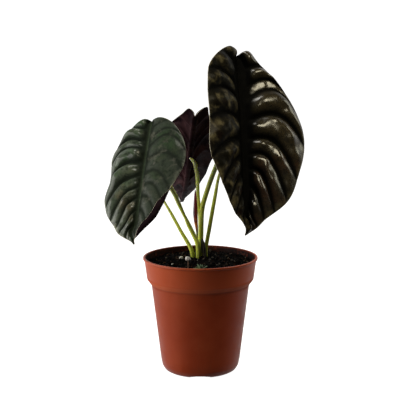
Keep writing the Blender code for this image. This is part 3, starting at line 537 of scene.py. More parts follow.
def half_surface(leaf, half, rng, seed):
    """One half's rows, which follow its veins from midrib to margin, with what its relief and paint need."""
    margin = half_outline(leaf, leaf["halves"][half])
    quilt, curl, groove = leaf["quilt"][half], leaf["curl"][half] * MM, leaf["groove"][half] * MM
    run = np.r_[0, np.cumsum(np.linalg.norm(np.diff(margin, axis=0), axis=1))]
    run /= run[-1]
    roots = VEINS[:, 0] * np.where(VEINS[:, 0] < 0, leaf["notch"], leaf["ahead"]) * MM
    bows = VEINS[:, 2] * (leaf["ahead"] + leaf["behind"]) * MM * leaf["bow"][half]
    number = np.arange(len(VEINS))
    inner = MARGIN_COLUMN * np.linspace(0, 1, COLUMNS) ** COLUMN_CROWDING
    share = np.r_[inner, np.linspace(MARGIN_COLUMN, 1, MARGIN_COLUMNS + 1)[1:]]

    def lines(at):
        root, bow, end = (np.interp(at, number, line)[:, None] for line in (roots, bows, VEINS[:, 1]))
        stop_along, stop_across = (np.interp(end, run, line) for line in margin.T)
        along = root + (stop_along - root) * share - bow * np.sin(pi * share**BOW_LATENESS)
        return along, stop_across * share, end, stop_across

    intervals = len(VEINS) - 1
    at = np.linspace(0, intervals, intervals * LINES_BETWEEN_VEINS + 1)
    interval = np.minimum(at.astype(int), intervals - 1)
    along, across, end, breadth = lines(at)
    vein_along, vein_across, _, _ = lines(number)
    full_spacing = np.hypot(np.diff(vein_along, axis=0), np.diff(vein_across, axis=0))[interval]
    spacing = np.minimum(full_spacing, QUILT_CAP)
    swell = rng.uniform(*SWELL, intervals)[interval][:, None]
    # One bulge is nearly flat, so it mirrors a wide light where the others glint
    flat_half, flat_interval, flatness = leaf.get("flat_bulge", (None,) * 3)
    if half == flat_half:
        swell[interval == flat_interval] *= flatness
    fraction = (at - interval)[:, None]
    hump = np.sin(pi * np.clip(fraction, 0, 1)) ** VALLEY_SHARPNESS
    # The bulges start beside a sunken band, which widens towards the notch
    hindward = np.clip(-np.interp(at, number, VEINS[:, 0]), 0, 1)[:, None]
    band = np.minimum(groove * (1 + hindward) / np.maximum(breadth, 1 * MM), GROOVE_LIMIT)
    inward = np.clip(share - band, 0, 1)
    rise = (1 - np.exp(-inward / QUILT_ONSET)) * (1 - MARGIN_CALM * share**4)
    # The paint's band beside the midrib is wider than the relief's and takes the valley colour as painted
    # shade
    painted = 1 - np.exp(-np.clip(share - PAINTED_SHADE_BAND * band, 0, 1) / QUILT_ONSET)
    height = quilt * spacing * swell * hump * rise
    near_midrib = np.exp(-((across / PLEAT_REACH) ** 2))
    pleat = np.exp(-(((fraction - 0.5) / PLEAT_WIDTH) ** 2)) * near_midrib
    height -= PLEAT_SHARE * quilt * spacing * pleat * rise
    flat = np.stack([along, across, 0 * along], -1)
    height *= 1 + WAVE_SHARE * noise_at(flat, 1 / WAVE_LENGTH, NOISE_SHIFT * seed)
    blister = noise_at(flat, 1 / BLISTER_LENGTH, NOISE_SHIFT * (seed + 1))
    height += BLISTER_HEIGHT * quilt * blister * hump * rise
    height -= MIDRIB_DEPTH * np.exp(-((across / (0.8 * groove)) ** 2))
    # Along part of the margin the blade rolls up, out of its plane
    rolled = np.minimum(curl * np.interp(end, CURL_REACH, (0, 1, 1, 0)), MOST_CURL * breadth)
    midrib = np.exp(-((across / MIDRIB_WIDTH) ** 2))
    along, across, height, normal = curled(along, across, height, rolled)
    vein_distance = np.minimum(fraction, 1 - fraction) * full_spacing
    return dict(
        along=along, across=across, height=height, normal=normal, midrib=midrib, hump=hump * painted,
        share=np.broadcast_to(share, along.shape), half=np.full_like(along, half),
        reach=(along + leaf["notch"] * MM) / ((leaf["ahead"] + leaf["notch"]) * MM),
        vein=np.exp(-((vein_distance / VEIN_WIDTH) ** 2)),
    )


def curled(along, across, height, rolled):
    """The half with this much of its margin rolled up over it, as broad as before, and its upper normals."""
    flat = np.stack([along, across])
    step_along, step_across = np.gradient(flat[:, :, -1:], axis=1)
    inward = np.stack([step_across, -step_along]) / np.maximum(np.hypot(step_along, step_across), 0.01 * MM)
    share = across / np.maximum(across[:, -1:], MM)
    flat = flat - inward * (rolled - CURL_RADIUS).clip(0) * share**2
    depth = ((flat - flat[:, :, -1:]) * inward).sum(0)
    past = np.clip(rolled - depth, 0, None)
    angle = np.minimum(past / CURL_RADIUS, radians(CURL_STEEPNESS))
    straight = past - angle * CURL_RADIUS
    back = past - CURL_RADIUS * np.sin(angle) - straight * np.cos(angle)
    height = height * (1 - past / CURL_RADIUS).clip(0, 1)
    height += CURL_RADIUS * (1 - np.cos(angle)) + straight * np.sin(angle)
    return *(flat + inward * back), height, (*(inward * np.sin(angle)), np.cos(angle))


def bent(leaf, along, across, height, side):
    """Moves flat points to their place in the world, side being +1 or -1."""
    fold, arch = radians(leaf["fold"]), radians(leaf["arch"])
    length = (leaf["ahead"] + leaf["behind"]) * MM
    curl = arch / (ARCH_WIDTH_SHARE * length)
    slope = fold - curl * across
    out = (sin(fold) - np.sin(slope)) / curl - height * np.sin(slope) * (across > 0)
    up = (np.cos(slope) - cos(fold)) / curl + height * np.cos(slope)
    droop = np.where(along > 0, *leaf["droop"])
    turn = droop * along
    forward = np.sin(turn) / droop + up * np.sin(turn)
    lift = -(1 - np.cos(turn)) / droop + up * np.cos(turn)
    hook, hook_start = leaf["hook"]
    near_tip = np.clip((along / (leaf["ahead"] * MM) - hook_start) / (HOOK_END - hook_start), 0, 1)
    sideways = side * out + hook * MM * np.sin(pi * near_tip) ** 2
    axes = [np.array(axis) for axis in leaf_axes(leaf)]
    seat = np.array(leaf["seat"]) * MM
    return seat + sum(part[..., None] * axis for part, axis in zip((sideways, forward, lift), axes))


def blade_grids(rows, columns):
    """Vertex numbers of one face of a blade, for each half, which share the midrib and both ends."""
    grids = np.zeros((2, rows, columns), int)
    grids[:, -1] = rows - 1
    grids[:, :, 0] = np.arange(rows)
    inner = grids[:, 1:-1, 1:]
    inner[:] = rows + np.arange(inner.size).reshape(inner.shape)
    return grids, rows + inner.size


def build_blade(name, leaf, finishes, seed):
    """One blade: the quilted upper face, the ribbed underside and a thin rounded edge."""
    rng = np.random.default_rng(seed)
    halves = [half_surface(leaf, half, rng, 4 * seed + 2 * half) for half in range(2)]
    rows, columns = halves[0]["along"].shape
    grids, face_count = blade_grids(rows, columns)
    upper, under = np.empty((2, face_count, 3))
    values = {label: np.empty(face_count) for label in ("share", "reach", "hump", "vein", "midrib", "half")}
    for side, grid, half in zip((1, -1), grids, halves):
        thickness = BLADE_THICKNESS + (MARGIN_THICKNESS - BLADE_THICKNESS) * half["share"] ** 2
        tip_taper = np.clip(1 - half["along"] / (leaf["ahead"] * MM), 0, 1) ** 0.5
        ribs = RIB_HEIGHT * half["vein"] * (1 - half["share"]) + MIDRIB_HEIGHT * half["midrib"]
        below = thickness + ribs * tip_taper
        places = [half[label] for label in ("along", "across", "height")]
        upper[grid] = bent(leaf, *places, side)
        under[grid] = bent(leaf, *(place - below * lean for place, lean in zip(places, half["normal"])), side)
        for label in values:
            values[label][grid] = half[label]
    points = [upper, under]
    faces, finish_of_face = [], []
    first_pole = 2 * (face_count + rows - 2)
    for number, (side, grid) in enumerate(zip((1, -1), grids)):
        for quad in grid_quads(grid):
            ring = list(dict.fromkeys(quad))
            if len(ring) > 2:
                faces += [ring[::side], [v + face_count for v in ring][::-side]]
                finish_of_face += [0, 1]
        rim = grid[:, -1]
        outward = upper[rim] - upper[grid[:, -2]]
        outward /= np.maximum(np.linalg.norm(outward, axis=1), 1e-9)[:, None]
        middle = (upper[rim] + under[rim]) / 2 + outward * MARGIN_THICKNESS * MARGIN_BULGE
        points.append(middle[1:-1])
        first = 2 * face_count + number * (rows - 2)
        ring = [first_pole, *range(first, first + rows - 2), first_pole + 1]
        rim = rim.tolist()
        for a, b, m, n in zip(rim, rim[1:], ring, ring[1:]):
            faces += [[a, b, n, m], [m, n, b + face_count, a + face_count]]
            finish_of_face += [2, 2]
    points.append([(upper[end] + under[end]) / 2 for end in (0, rows - 1)])
    points = np.vstack(points)
    edge = np.ones(len(points) - 2 * face_count)
    attributes = {label: np.r_[value, value, edge] for label, value in values.items()}
    return mesh_piece(name, points, faces, finishes, finish_of_face, attributes)


# Stalks


def carried_frames(centres):
    """Two unit vectors across a route at each point, turned as little as the route allows."""
    tangents = np.gradient(centres, axis=0)
    tangents /= np.linalg.norm(tangents, axis=1)[:, None]
    across = np.empty_like(centres)
    across[0] = np.cross(tangents[0], (0.0, 1.0, 0.0))
    across[0] /= np.linalg.norm(across[0])
    for n in range(1, len(centres)):
        moved = across[n - 1] - tangents[n] * np.dot(across[n - 1], tangents[n])
        across[n] = moved / np.linalg.norm(moved)
    return across, np.cross(tangents, across), tangents


def swept(name, centres, radii, section, finish, sides=STALK_SIDES):
    """A solid along a route. section(angles, share) gives each ring's radius as a share of its own."""
    across, beside, tangents = carried_frames(centres)
    angles = np.arange(sides) * tau / sides
    rings = len(centres)
    points = [centres[0] - tangents[0] * radii[0] * FOOT_CAP]
    for n, (centre, radius) in enumerate(zip(centres, radii)):
        reach = (radius * section(angles, n / (rings - 1)))[:, None]
        ring = np.outer(np.cos(angles), across[n]) + np.outer(np.sin(angles), beside[n])
        points += [*(centre + reach * ring)]
    points.append(centres[-1] + tangents[-1] * radii[-1] * END_CAP)
    rise = np.r_[0, np.repeat(np.linspace(0, 1, rings), sides), 1]
    return mesh_piece(name, points, skin(rings, sides), (finish,), attributes={"rise": rise})


def route_stations(route, end=()):
    """Centres in metres and radii, from the foot, buried upright, along the route and to the end."""
    stations = [tuple(value * MM for value in point) for point in route]
    x, y, z, radius = stations[0]
    buried = [(x, y, z - STALK_DEPTH, radius), (x, y, z - STALK_DEPTH / 2, radius)]
    full = np.vstack([buried, smooth_curve([*stations, *end], STALK_RINGS)])
    return full[:, :3], full[:, 3]


def stalk_end(leaf, route):
    """Where the stalk meets the blade's underside, and its radius there."""
    upper = leaf_axes(leaf)[2]
    seat = Vector(leaf["seat"]) * MM
    under = (MIDRIB_DEPTH + BLADE_THICKNESS) * cos(radians(leaf["fold"])) + SEAT_DEPTH
    place = seat - upper * under
    return (*place, route[-1][3] * MM * STALK_END_SHARE)


def stalk_section(angles, share):
    """Round with faint ribs, and wider at the foot."""
    ribs = 1 + STALK_RIB_DEPTH * np.cos(STALK_RIBS * angles)
    return ribs * (1 + FOOT_FLARE * exp(-share / FOOT_FLARE_REACH))


def build_stalk(key, finish):
    route = STALKS[key]
    centres, radii = route_stations(route, [stalk_end(LEAVES[key], route)])
    return swept(f"fine_stalk_{key}", centres, radii, stalk_section, finish)


def rolled_section(angles, share):
    """A rolled leaf's section: a spiral with one overlapping edge."""
    turn = (angles / tau + 0.55 * share) % 1.0
    return 0.88 + 0.24 * turn


def sheath_section(angles, share):
    """A shrivelled sheath: folded in on itself, more so towards its ragged top."""
    return 1 + (0.10 + 0.14 * share) * np.sin(3 * angles + 4 * share) + 0.08 * np.sin(7 * angles - 9 * share)


# Pot


def arc(centre, radius, start, end, count):
    """Points of a round corner in the profile, angles in degrees."""
    turns = np.radians(np.linspace(start, end, count))
    return [(centre[0] + radius * cos(a), centre[1] + radius * sin(a)) for a in turns]


def rounded(profile, radius):
    """The profile with each inner corner cut to a short curve that starts this far from it."""
    result = [profile[0]]
    for before, corner, after in zip(*(np.array(profile)[n : len(profile) - 2 + n] for n in range(3))):
        start, end = (corner + (p - corner) * min(0.45, radius / dist(p, corner)) for p in (before, after))
        for t in np.linspace(0, 1, 5):
            result.append(tuple((1 - t) ** 2 * start + 2 * t * (1 - t) * corner + t**2 * end))
    return [*result, profile[-1]]


def pot_profile():
    """The outside from the foot's edge up, over the lip, and the inside down to the floor."""
    rim = POT_WIDTH / 2
    band = rim - LIP_PROUD
    band_foot = POT_HEIGHT - BAND_DEPTH
    foot = POT_FOOT_WIDTH / 2
    lip_low = POT_HEIGHT - LIP_HEIGHT
    outside = [
        (foot - 2 * MM, 0.0),
        (foot, 0.0),
        (foot + 4.0 * MM, 2.2 * MM),
        (foot + 6.6 * MM, 6.5 * MM),
        (BODY_FOOT_RADIUS, CORNER_HEIGHT),
        (BODY_TOP_RADIUS, band_foot - STEP_DEPTH),
        (band - BAND_TAPER, band_foot),
        (band, lip_low - 0.5 * MM),
        (rim, lip_low),
    ]
    lip = arc((rim - 0.7 * MM, POT_HEIGHT - 0.7 * MM), 0.7 * MM, 0, 90, 6)
    inner_lip = arc((band - WALL + 0.5 * MM, POT_HEIGHT - 0.5 * MM), 0.5 * MM, 90, 180, 5)
    inside = [
        (band - BAND_TAPER - WALL, band_foot),
        (BODY_TOP_RADIUS - WALL, band_foot - STEP_DEPTH),
        (BODY_FOOT_RADIUS - WALL, CORNER_HEIGHT),
        (foot + 6.6 * MM - WALL, FLOOR + 4.0 * MM),
        (foot + 4.0 * MM - WALL, FLOOR),
        (foot - 4.0 * MM, FLOOR),
    ]
    return rounded(outside, 1.2 * MM) + lip + inner_lip + rounded(inside, 1.5 * MM)


def refined(profile, step):
    """The profile with its long runs split, so that no segment is longer than step."""
    result = [profile[0]]
    for before, after in zip(profile, profile[1:]):
        parts = max(1, ceil(dist(before, after) / step))
        result += map(tuple, np.linspace(before, after, parts + 1)[1:])
    return result


def channel_lift(x, y, z):
    """How far the drain channels raise a point of the foot."""
    lift = 0.0
    for turn in DRAIN_TURNS:
        along = x * cos(turn) + y * sin(turn)
        across = -x * sin(turn) + y * cos(turn)
        if along > CHANNEL_START and abs(across) < CHANNEL_WIDTH / 2:
            arch = sqrt(1 - (2 * across / CHANNEL_WIDTH) ** 2)
            lift = max(lift, CHANNEL_DEPTH * arch - z)
    return lift


def build_pot(finish):
    """The pot, turned from its profile, its foot scalloped by the drain channels and its floor drilled."""
    underside = [(radius * MM, 0.0) for radius in (4, 10, 15, 17.9, 18.1, 22, 26, 29)]
    floor_inside = [(radius * MM, FLOOR) for radius in (26, 22, 16, 8)]
    profile = underside + refined(pot_profile(), 2.5 * MM) + floor_inside
    points = [(0.0, 0.0, 0.0), *turned(profile, POT_SIDES), (0.0, 0.0, FLOOR)]
    points = [(x, y, z + channel_lift(x, y, z)) for x, y, z in points]
    pot = mesh_piece("fine_pot", points, skin(len(profile), POT_SIDES), (finish,))
    drill(pot)
    return pot


def drill(pot):
    """Cuts the drain holes through the floor."""
    shell = bmesh.new()
    size = {"segments": 32, "radius1": DRAIN_RADIUS, "radius2": DRAIN_RADIUS, "depth": 4 * FLOOR}
    for turn in DRAIN_TURNS:
        place = Matrix.Translation((DRAIN_RING * cos(turn), DRAIN_RING * sin(turn), 0.0))
        bmesh.ops.create_cone(shell, cap_ends=True, matrix=place, **size)
    mesh = bpy.data.meshes.new("drill")
    shell.to_mesh(mesh)
    shell.free()
    cutter = linked("drill", mesh)
    pot.modifiers.new("drains", "BOOLEAN").object = cutter
    drilled = bpy.data.meshes.new_from_object(pot.evaluated_get(bpy.context.evaluated_depsgraph_get()))
    pot.modifiers.clear()
    pot.data = drilled
    drilled.set_sharp_from_angle(angle=radians(SHARP_ANGLE))
    bpy.data.objects.remove(cutter, do_unlink=True)


# Soil and what lies on it


def soil_level(x, y):
    """Height of the packed soil: a low mound towards the crown, with small even lumps."""
    reach = hypot(x - CROWN[0], y - CROWN[1]) / (POT_WIDTH / 2)
    mound = SOIL_EDGE_LEVEL + (SOIL_CROWN_LEVEL - SOIL_EDGE_LEVEL) * exp(-1.6 * reach**2)
    lumps = sin(x / (3.1 * MM) + 1.3 * sin(y / (5.3 * MM)))
    lumps += sin(y / (2.7 * MM) + 1.7 * sin(x / (4.9 * MM)))
    calm = min(1.0, max(0.0, (reach - 0.22) / 0.15))
    return mound + SOIL_BUMP * calm * lumps


def pot_inside_radius(height):
    """The pot's inner radius at this height."""
    band = POT_WIDTH / 2 - LIP_PROUD - WALL
    band_foot = POT_HEIGHT - BAND_DEPTH
    heights = (FLOOR, CORNER_HEIGHT, band_foot - STEP_DEPTH, band_foot, POT_HEIGHT)
    radii = (FLOOR_RADIUS - WALL, BODY_FOOT_RADIUS - WALL, BODY_TOP_RADIUS - WALL, band - BAND_TAPER, band)
    return float(np.interp(height, heights, radii))


def rough_level(x, y):
    """The soil's visible surface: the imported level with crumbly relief."""
    place = Vector((x, y, 0.0))
    relief = sum(height * noise.noise(place / (size * MM)) for height, size in SOIL_RELIEF)
    return soil_level(x, y) + relief * MM


def build_soil(finish):
    """The filling of the pot: a rough top, and sides just clear of the wall."""
    edge = pot_inside_radius(SOIL_EDGE_LEVEL) - SOIL_GAP
    top = [(edge * (ring + 1) / SOIL_RINGS, 0.0) for ring in range(SOIL_RINGS)]
    side = [(pot_inside_radius(height) - SOIL_GAP, height) for height in SOIL_SIDE_LEVELS]
    points = [(x, y, rough_level(x, y)) for x, y, _ in [(0.0, 0.0, 0.0), *turned(top, SOIL_SIDES)]]
    points += [*turned(side, SOIL_SIDES), (0.0, 0.0, SOIL_SIDE_LEVELS[-1])]
    return mesh_piece("fine_soil", points, skin(len(top + side), SOIL_SIDES), (finish,))


def random_turn(rng):
    """A rotation matrix drawn evenly."""
    matrix, _ = np.linalg.qr(rng.normal(size=(3, 3)))
    return matrix


def scattered(rng, count, edge):
    """Random places on the soil, evenly over its disc."""
    radius = edge * np.sqrt(rng.uniform(0, 1, count))
    turn = rng.uniform(0, tau, count)
    return radius * np.cos(turn), radius * np.sin(turn)


def build_crumbs(finish):
    """Loose lumps and slim chips that lie half sunk all over the soil, joined in one mesh."""
    rng = np.random.default_rng(11)
    base, base_faces = unit_ball(1)
    points, faces, tones = [], [], []
    loose = CRUMBS + CHIPS
    edge = pot_inside_radius(SOIL_EDGE_LEVEL) - CRUMB_MARGIN
    spread = np.hstack([scattered(rng, loose, edge), scattered(rng, CROWN_CRUMBS, CROWN_REACH)])
    spread[:, loose:] += np.array(CROWN)[:, None] - ((0,), (CROWN_REACH / 3,))
    for number, (x, y) in enumerate(spread.T):
        chip = CRUMBS <= number < loose
        size = rng.uniform(*CRUMB_SIZES) ** CRUMB_POWER * MM
        if number >= loose:
            size = rng.uniform(*CROWN_CRUMB_SIZES) * MM
        shape = size * rng.uniform(0.6, 1.2, 3)
        if chip:
            shape = rng.uniform(*CHIP_SIZES) * MM
        dents = 1 + 0.28 * rng.uniform(-1, 1, (len(base), 1))
        turn = random_turn(rng)
        if chip:
            turn = np.array(Matrix.Rotation(rng.uniform(0, tau), 3, "Z"))
        sunk = rng.uniform(-0.1, 0.5) * size
        faces.append(base_faces + len(points) * len(base))
        points.append(base * dents * shape @ turn.T + (x, y, rough_level(x, y) + sunk))
        tones += [rng.uniform()] * len(base)
    faces = np.vstack(faces).tolist()
    return mesh_piece("soil_crumbs", np.vstack(points), faces, (finish,), attributes={"tone": tones})


def build_grain(number, x, y, radius, finish):
    """A rough white grain, part sunk in the soil."""
    base, faces = unit_ball(4)
    dents = 0.30 * noise_at(base, 1.4, shift=(number, 0, 0)) + 0.10 * noise_at(base, 5)
    points = base * radius * (1 + dents)[:, None] * (1, 1, 0.8) + (x, y, soil_level(x, y) + radius * 0.45)
    return mesh_piece(f"fine_perlite_{number}", points, faces.tolist(), (finish,))


def build_toadstool(finish):
    """A small bell-shaped cap, a little askew, on a thin stem."""
    sides = 40
    low = soil_level(*TOADSTOOL_AT) - TOADSTOOL_DEPTH
    top = soil_level(*TOADSTOOL_AT) + TOADSTOOL_HEIGHT
    stem, cap, rise = TOADSTOOL_STEM_RADIUS, TOADSTOOL_CAP_RADIUS, TOADSTOOL_CAP_HEIGHT
    neck = top - 0.5 * rise
    profile = [(stem * (1.15 - 0.25 * t), low + (neck - low) * t) for t in np.linspace(0, 1, 12)]
    for t in np.linspace(0.15, 1, 6):
        profile.append((stem + (cap * 0.93 - stem) * t, neck - 0.42 * rise * t**1.3))
    for turn in np.radians(np.linspace(-12, 84, 14)):
        profile.append((cap * cos(turn) ** 0.8, top - rise + rise * (sin(turn) + 0.1) / 1.1))
    x, y, z = np.array([(0.0, 0.0, low), *turned(profile, sides), (0.0, 0.0, top)]).T
    frill = 1 + 0.05 * np.sin(5 * np.arctan2(y, x) + 1) * (np.hypot(x, y) / cap) ** 3
    x, y = x * frill, y * frill
    z -= np.clip((z - neck + rise * 0.5) / rise, 0, 1) * 0.20 * x
    x += TOADSTOOL_AT[0] + 0.4 * MM * np.sin((z - low) / (5 * MM))
    y += TOADSTOOL_AT[1]
    return mesh_piece("fine_toadstool", np.stack([x, y, z], 1), skin(len(profile), sides), (finish,))


def seedling_leaf(rng, root, turn):
    """One small leaf as the points of its two faces: pointed, folded along its middle and bending over."""
    length = SEEDLING_LEAF_LENGTH * rng.uniform(0.7, 1.0)
    width = SEEDLING_LEAF_WIDTH * rng.uniform(0.7, 1.05)
    rise = radians(rng.uniform(40, 78))
    bend = radians(rng.uniform(15, 45))
    out = np.array((cos(turn), sin(turn), 0.0))
    across = np.array((-out[1], out[0], 0.0))
    up = np.array((0.0, 0.0, 1.0))
    share = np.linspace(0, 1, SEEDLING_ROWS)[:, None, None]
    offset = np.linspace(-1, 1, SEEDLING_COLUMNS)[None, :, None]
    lean = rise - bend * share
    step = (out * np.cos(lean) + up * np.sin(lean)) * length / (SEEDLING_ROWS - 1)
    face = up * np.cos(lean) - out * np.sin(lean)
    breadth = width / 2 * (np.sin(pi * np.minimum(1.0, share * 0.85 + 0.15)) ** 0.8 + 0.06)
    middle = root + np.cumsum(step, axis=0) - step
    point = middle + across * offset * breadth + face * abs(offset) * breadth * 0.35
    half_thickness = face * 0.16 * MM * (1.15 - abs(offset))
    return [*(point + half_thickness).reshape(-1, 3), *(point - half_thickness).reshape(-1, 3)]


def build_seedling(finish):
    """A tuft of small leaves, joined in one mesh."""
    rng = np.random.default_rng(5)
    x, y = SEEDLING_AT
    level = soil_level(x, y)
    points, faces = [], []
    count = SEEDLING_ROWS * SEEDLING_COLUMNS
    for number in range(SEEDLING_LEAVES):
        turn = tau * number * GOLDEN_TURN + rng.uniform(-0.3, 0.3)
        root = (x + 1.2 * MM * cos(turn), y + 1.2 * MM * sin(turn), level)
        grid = len(points) + np.arange(count).reshape(SEEDLING_ROWS, SEEDLING_COLUMNS)
        points += seedling_leaf(rng, root, turn)
        for quad in grid_quads(grid):
            faces += [quad, [v + count for v in quad][::-1]]
        rim = np.r_[grid[0], grid[1:, -1], grid[-1, -2::-1], grid[-2:0:-1, 0]].tolist()
        for a, b in zip(rim, rim[1:] + rim[:1]):
            faces.append([a, b, b + count, a + count])
    return mesh_piece("fine_seedling", points, faces, (finish,))


# Finishes


def inside_pot(mat, x, y, z):
    """1 on the inner face of the pot's upper band, above the soil's edge, and 0 outside."""
    radius = mat.math("SQRT", mat.plus(mat.times(x, x), mat.times(y, y)))
    taper = BAND_TAPER / BAND_DEPTH
    upright = mat.math("SUBTRACT", radius, mat.times(z, taper))
    wall = POT_WIDTH / 2 - LIP_PROUD - WALL / 2 - POT_HEIGHT * taper
    above = mat.spread(z, POT_HEIGHT - BAND_DEPTH + 4 * MM, POT_HEIGHT - 14 * MM)
    return mat.times(mat.spread(upright, wall + 0.2 * MM, wall - 0.2 * MM), above)


def pot_finish():
    """Terracotta plastic with a dirty front lip, a collar and step painted paler as painted light, a dark line
    of painted shade at the step's foot, and an inside darkened by soil stains and painted shade.
    """
    mat = Material("pot_plastic", (0.275, 0.038, 0.011), Specular_IOR_Level=0.20)
    x, y, z = (mat.axis(letter) for letter in "XYZ")
    mat.speckle((0.315, 0.049, 0.015), 22, 0.35, 0.65, detail=4, roughness=0.55)
    mat.layer(mat.spread(mat.streaks((260, 260, 9), 3), 0.55, 0.75, 0.0, 0.35), (0.25, 0.046, 0.017))
    near_lip = mat.times(mat.spread(z, *DIRT_RISE), mat.spread(y, *DIRT_FRONT))
    dirt = mat.times(near_lip, mat.between(x, *DIRT_SIDES), mat.patches(420, 0.40, 0.62, detail=4))
    mat.layer(dirt, (0.10, 0.050, 0.012))
    # Painted light: the collar and the downward-facing step are painted paler than the rest of the pot
    mat.layer(mat.spread(z, *COLLAR_LIGHT_RISE, 0.0, 0.62), (0.48, 0.084, 0.026))
    mat.layer(mat.around(z, STEP_AT, 3.2 * MM, 2.2 * MM, 0.8), (0.52, 0.105, 0.036))
    # Painted shade: a dark line in the corner at the step's foot
    mat.layer(mat.around(z, SHADE_LINE_AT, 0.7 * MM, 0.2 * MM, 0.4), (0.12, 0.012, 0.004))
    # The inner wall above the soil is darkened: partly soil stains, partly painted shade, and darker towards
    # +X as painted shade
    stain_and_shade = mat.times(inside_pot(mat, x, y, z), mat.spread(z, *STAIN_AND_SHADE_FADE, 0.80, 1.0))
    stain_and_shade = mat.times(stain_and_shade, mat.patches(210, 0.25, 0.5, 1.0, 0.75, detail=5))
    shaded_side = mat.spread(x, 6 * MM, 40 * MM)
    mat.layer(stain_and_shade, mat.mix(shaded_side, (0.022, 0.0055, 0.003), (0.005, 0.001, 0.001)))
    dull = mat.plus(mat.around(z, STEP_AT, 6.0 * MM, 3.5 * MM, 0.3), mat.times(stain_and_shade, 0.5))
    mat.set("Roughness", mat.plus(mat.patches(90, 0.3, 0.7, 0.50, 0.36, detail=5), dull))
    return mat.finished(mat.noise(900, detail=4, roughness=0.6), 0.05 * MM)


def soil_finish():
    mat = Material("soil_earth", Roughness=0.9, Specular_IOR_Level=0.04)
    stops = ((0.35, (0.0, 0.0, 0.0)), (0.56, (0.001, 0.001, 0.001)), (0.74, (0.018, 0.008, 0.004)))
    mat.ramp(mat.noise(160, detail=5, roughness=0.65), stops)
    mat.speckle((0.060, 0.048, 0.036), 620, 0.63, 0.72)
    return mat.finished(mat.noise(700, detail=6, roughness=0.7), 0.5 * MM)


def crumb_finish():
    """Mostly as dark as the soil; the last few tones are for bark and pale grit."""
    mat = Material("soil_crumb", Roughness=0.88, Specular_IOR_Level=0.05)
    stops = (
        (0.00, (0.001, 0.001, 0.001)),
        (0.62, (0.002, 0.001, 0.001)),
        (0.82, (0.014, 0.007, 0.004)),
        (0.88, (0.055, 0.024, 0.010)),
        (0.96, (0.075, 0.062, 0.048)),
        (1.00, (0.13, 0.12, 0.10)),
    )
    mat.ramp(mat.attribute("tone"), stops)
    mat.speckle((0.003, 0.002, 0.002), 900, 0.4, 0.7, 0.6)
    return mat.finished(mat.noise(1500, detail=4), 0.2 * MM)


def blade_finish(name, look):
    """A blade's upper face: dark valleys, partly painted shade, lighter bulges, and patches that differ by
    place, with the halves set apart by painted light and shade.
    """
    gloss, sheen, valley = look["gloss"], look["sheen"], look["valley"]
    mat = Material(name, look["bulge"], Specular_IOR_Level=gloss, Specular_Tint=sheen, Coat_Tint=sheen)
    mat.set("Coat Roughness", COAT_ROUGHNESS)
    share, reach, hump, midrib, far = map(mat.attribute, ("share", "reach", "hump", "midrib", "half"))
    near = mat.math("SUBTRACT", 1.0, far)
    mottle = mat.noise(55, detail=5, roughness=0.6, distortion=0.4)
    wander = mat.plus(reach, mat.spread(mottle, 0.3, 0.7, -0.15, 0.15))
    patch = mat.mix(mat.spread(wander, 0.25, 0.75), look["near_notch"], look["near_tip"])
    mat.speckle(patch, 38, 0.47, 0.66, 0.85, detail=5, roughness=0.6)
    # Painted light and shade: the second half is tinted apart from the first, paler on the bronze leaves and
    # darker on the grey green ones
    mat.layer(mat.times(far, 0.6), look["far_half_shading"])
    mat.layer(mat.times(far, mat.spread(reach, 0.45, 0.75, 0.0, look["tip_dark"])), valley)
    outer = mat.spread(share, MARGIN_LINE_START, 1.02)
    outer = mat.times(outer, mat.spread(mottle, 0.34, 0.60, 0.2, 1.0))
    mat.layer(outer, look["margin_line"])
    # Painted shade: the first half is darkened towards the valley colour
    mat.layer(mat.times(near, look["near_half_shade"]), valley)
    # Patches on the first half: partly the leaf's own tone that varies at random, partly painted reflection
    near_tone_and_sheen = mat.times(near, mat.patches(85, 0.46, 0.74, 0.8, detail=4, distortion=0.3))
    mat.layer(near_tone_and_sheen, look["near_tone_and_sheen"])
    # Painted shade: the grooves and the band beside the midrib take the valley colour, partly the veins' own
    # dark colour
    mat.layer(mat.spread(mat.plus(hump, mat.times(outer, 0.7)), 0.20, 0.92, 1.0, 0.0), valley)
    mat.speckle(valley, 130, 0.48, 0.66, look["blotches"], detail=5, roughness=0.65)
    mat.speckle(valley, 420, 0.48, 0.68, 0.5, detail=4, roughness=0.6)
    cloud = mat.times(far, mat.patches(70, 0.50, 0.66, detail=5, roughness=0.7), look["clouds"])
    mat.layer(cloud, look["cloud"])
    # On the bronze leaves this is painted shade of the sunken midrib
    mat.layer(mat.times(midrib, 0.6), look["midrib"])
    rough = look["roughness"]
    grain = mat.patches(130, 0.3, 0.7, rough + 0.07, rough - 0.05, detail=4)
    mat.set("Roughness", mat.plus(grain, mat.spread(hump, 0.1, 0.6, 0.30, 0.0)))
    near_coat, far_coat = look["coat"]
    coat = mat.plus(mat.times(far, far_coat - near_coat), near_coat)
    mat.set("Coat Weight", mat.times(mat.spread(hump, 0.25, 0.9), coat))
    return mat.finished(mat.noise(300, detail=4), 0.16 * MM, 0.7)


def under_finish(name, dark, light):
    """The undersides: dark purple with paler ribs."""
    mat = Material(name, dark, Roughness=0.55, Specular_IOR_Level=0.03)
    mat.speckle(light, 45, 0.38, 0.66, detail=5, roughness=0.6)
    ribs = mat.math("MAXIMUM", mat.attribute("vein"), mat.attribute("midrib"))
    mat.layer(mat.times(ribs, 0.45), (0.022, 0.009, 0.010))
    return mat.finished(mat.noise(500, detail=4), 0.12 * MM, 0.6)


def margin_finish():
    """The thin pale rim of each blade."""
    mat = Material("blade_margin", (0.26, 0.22, 0.14), Roughness=0.4)
    mat.speckle((0.50, 0.46, 0.34), 160, 0.35, 0.65)
    return mat.finished()


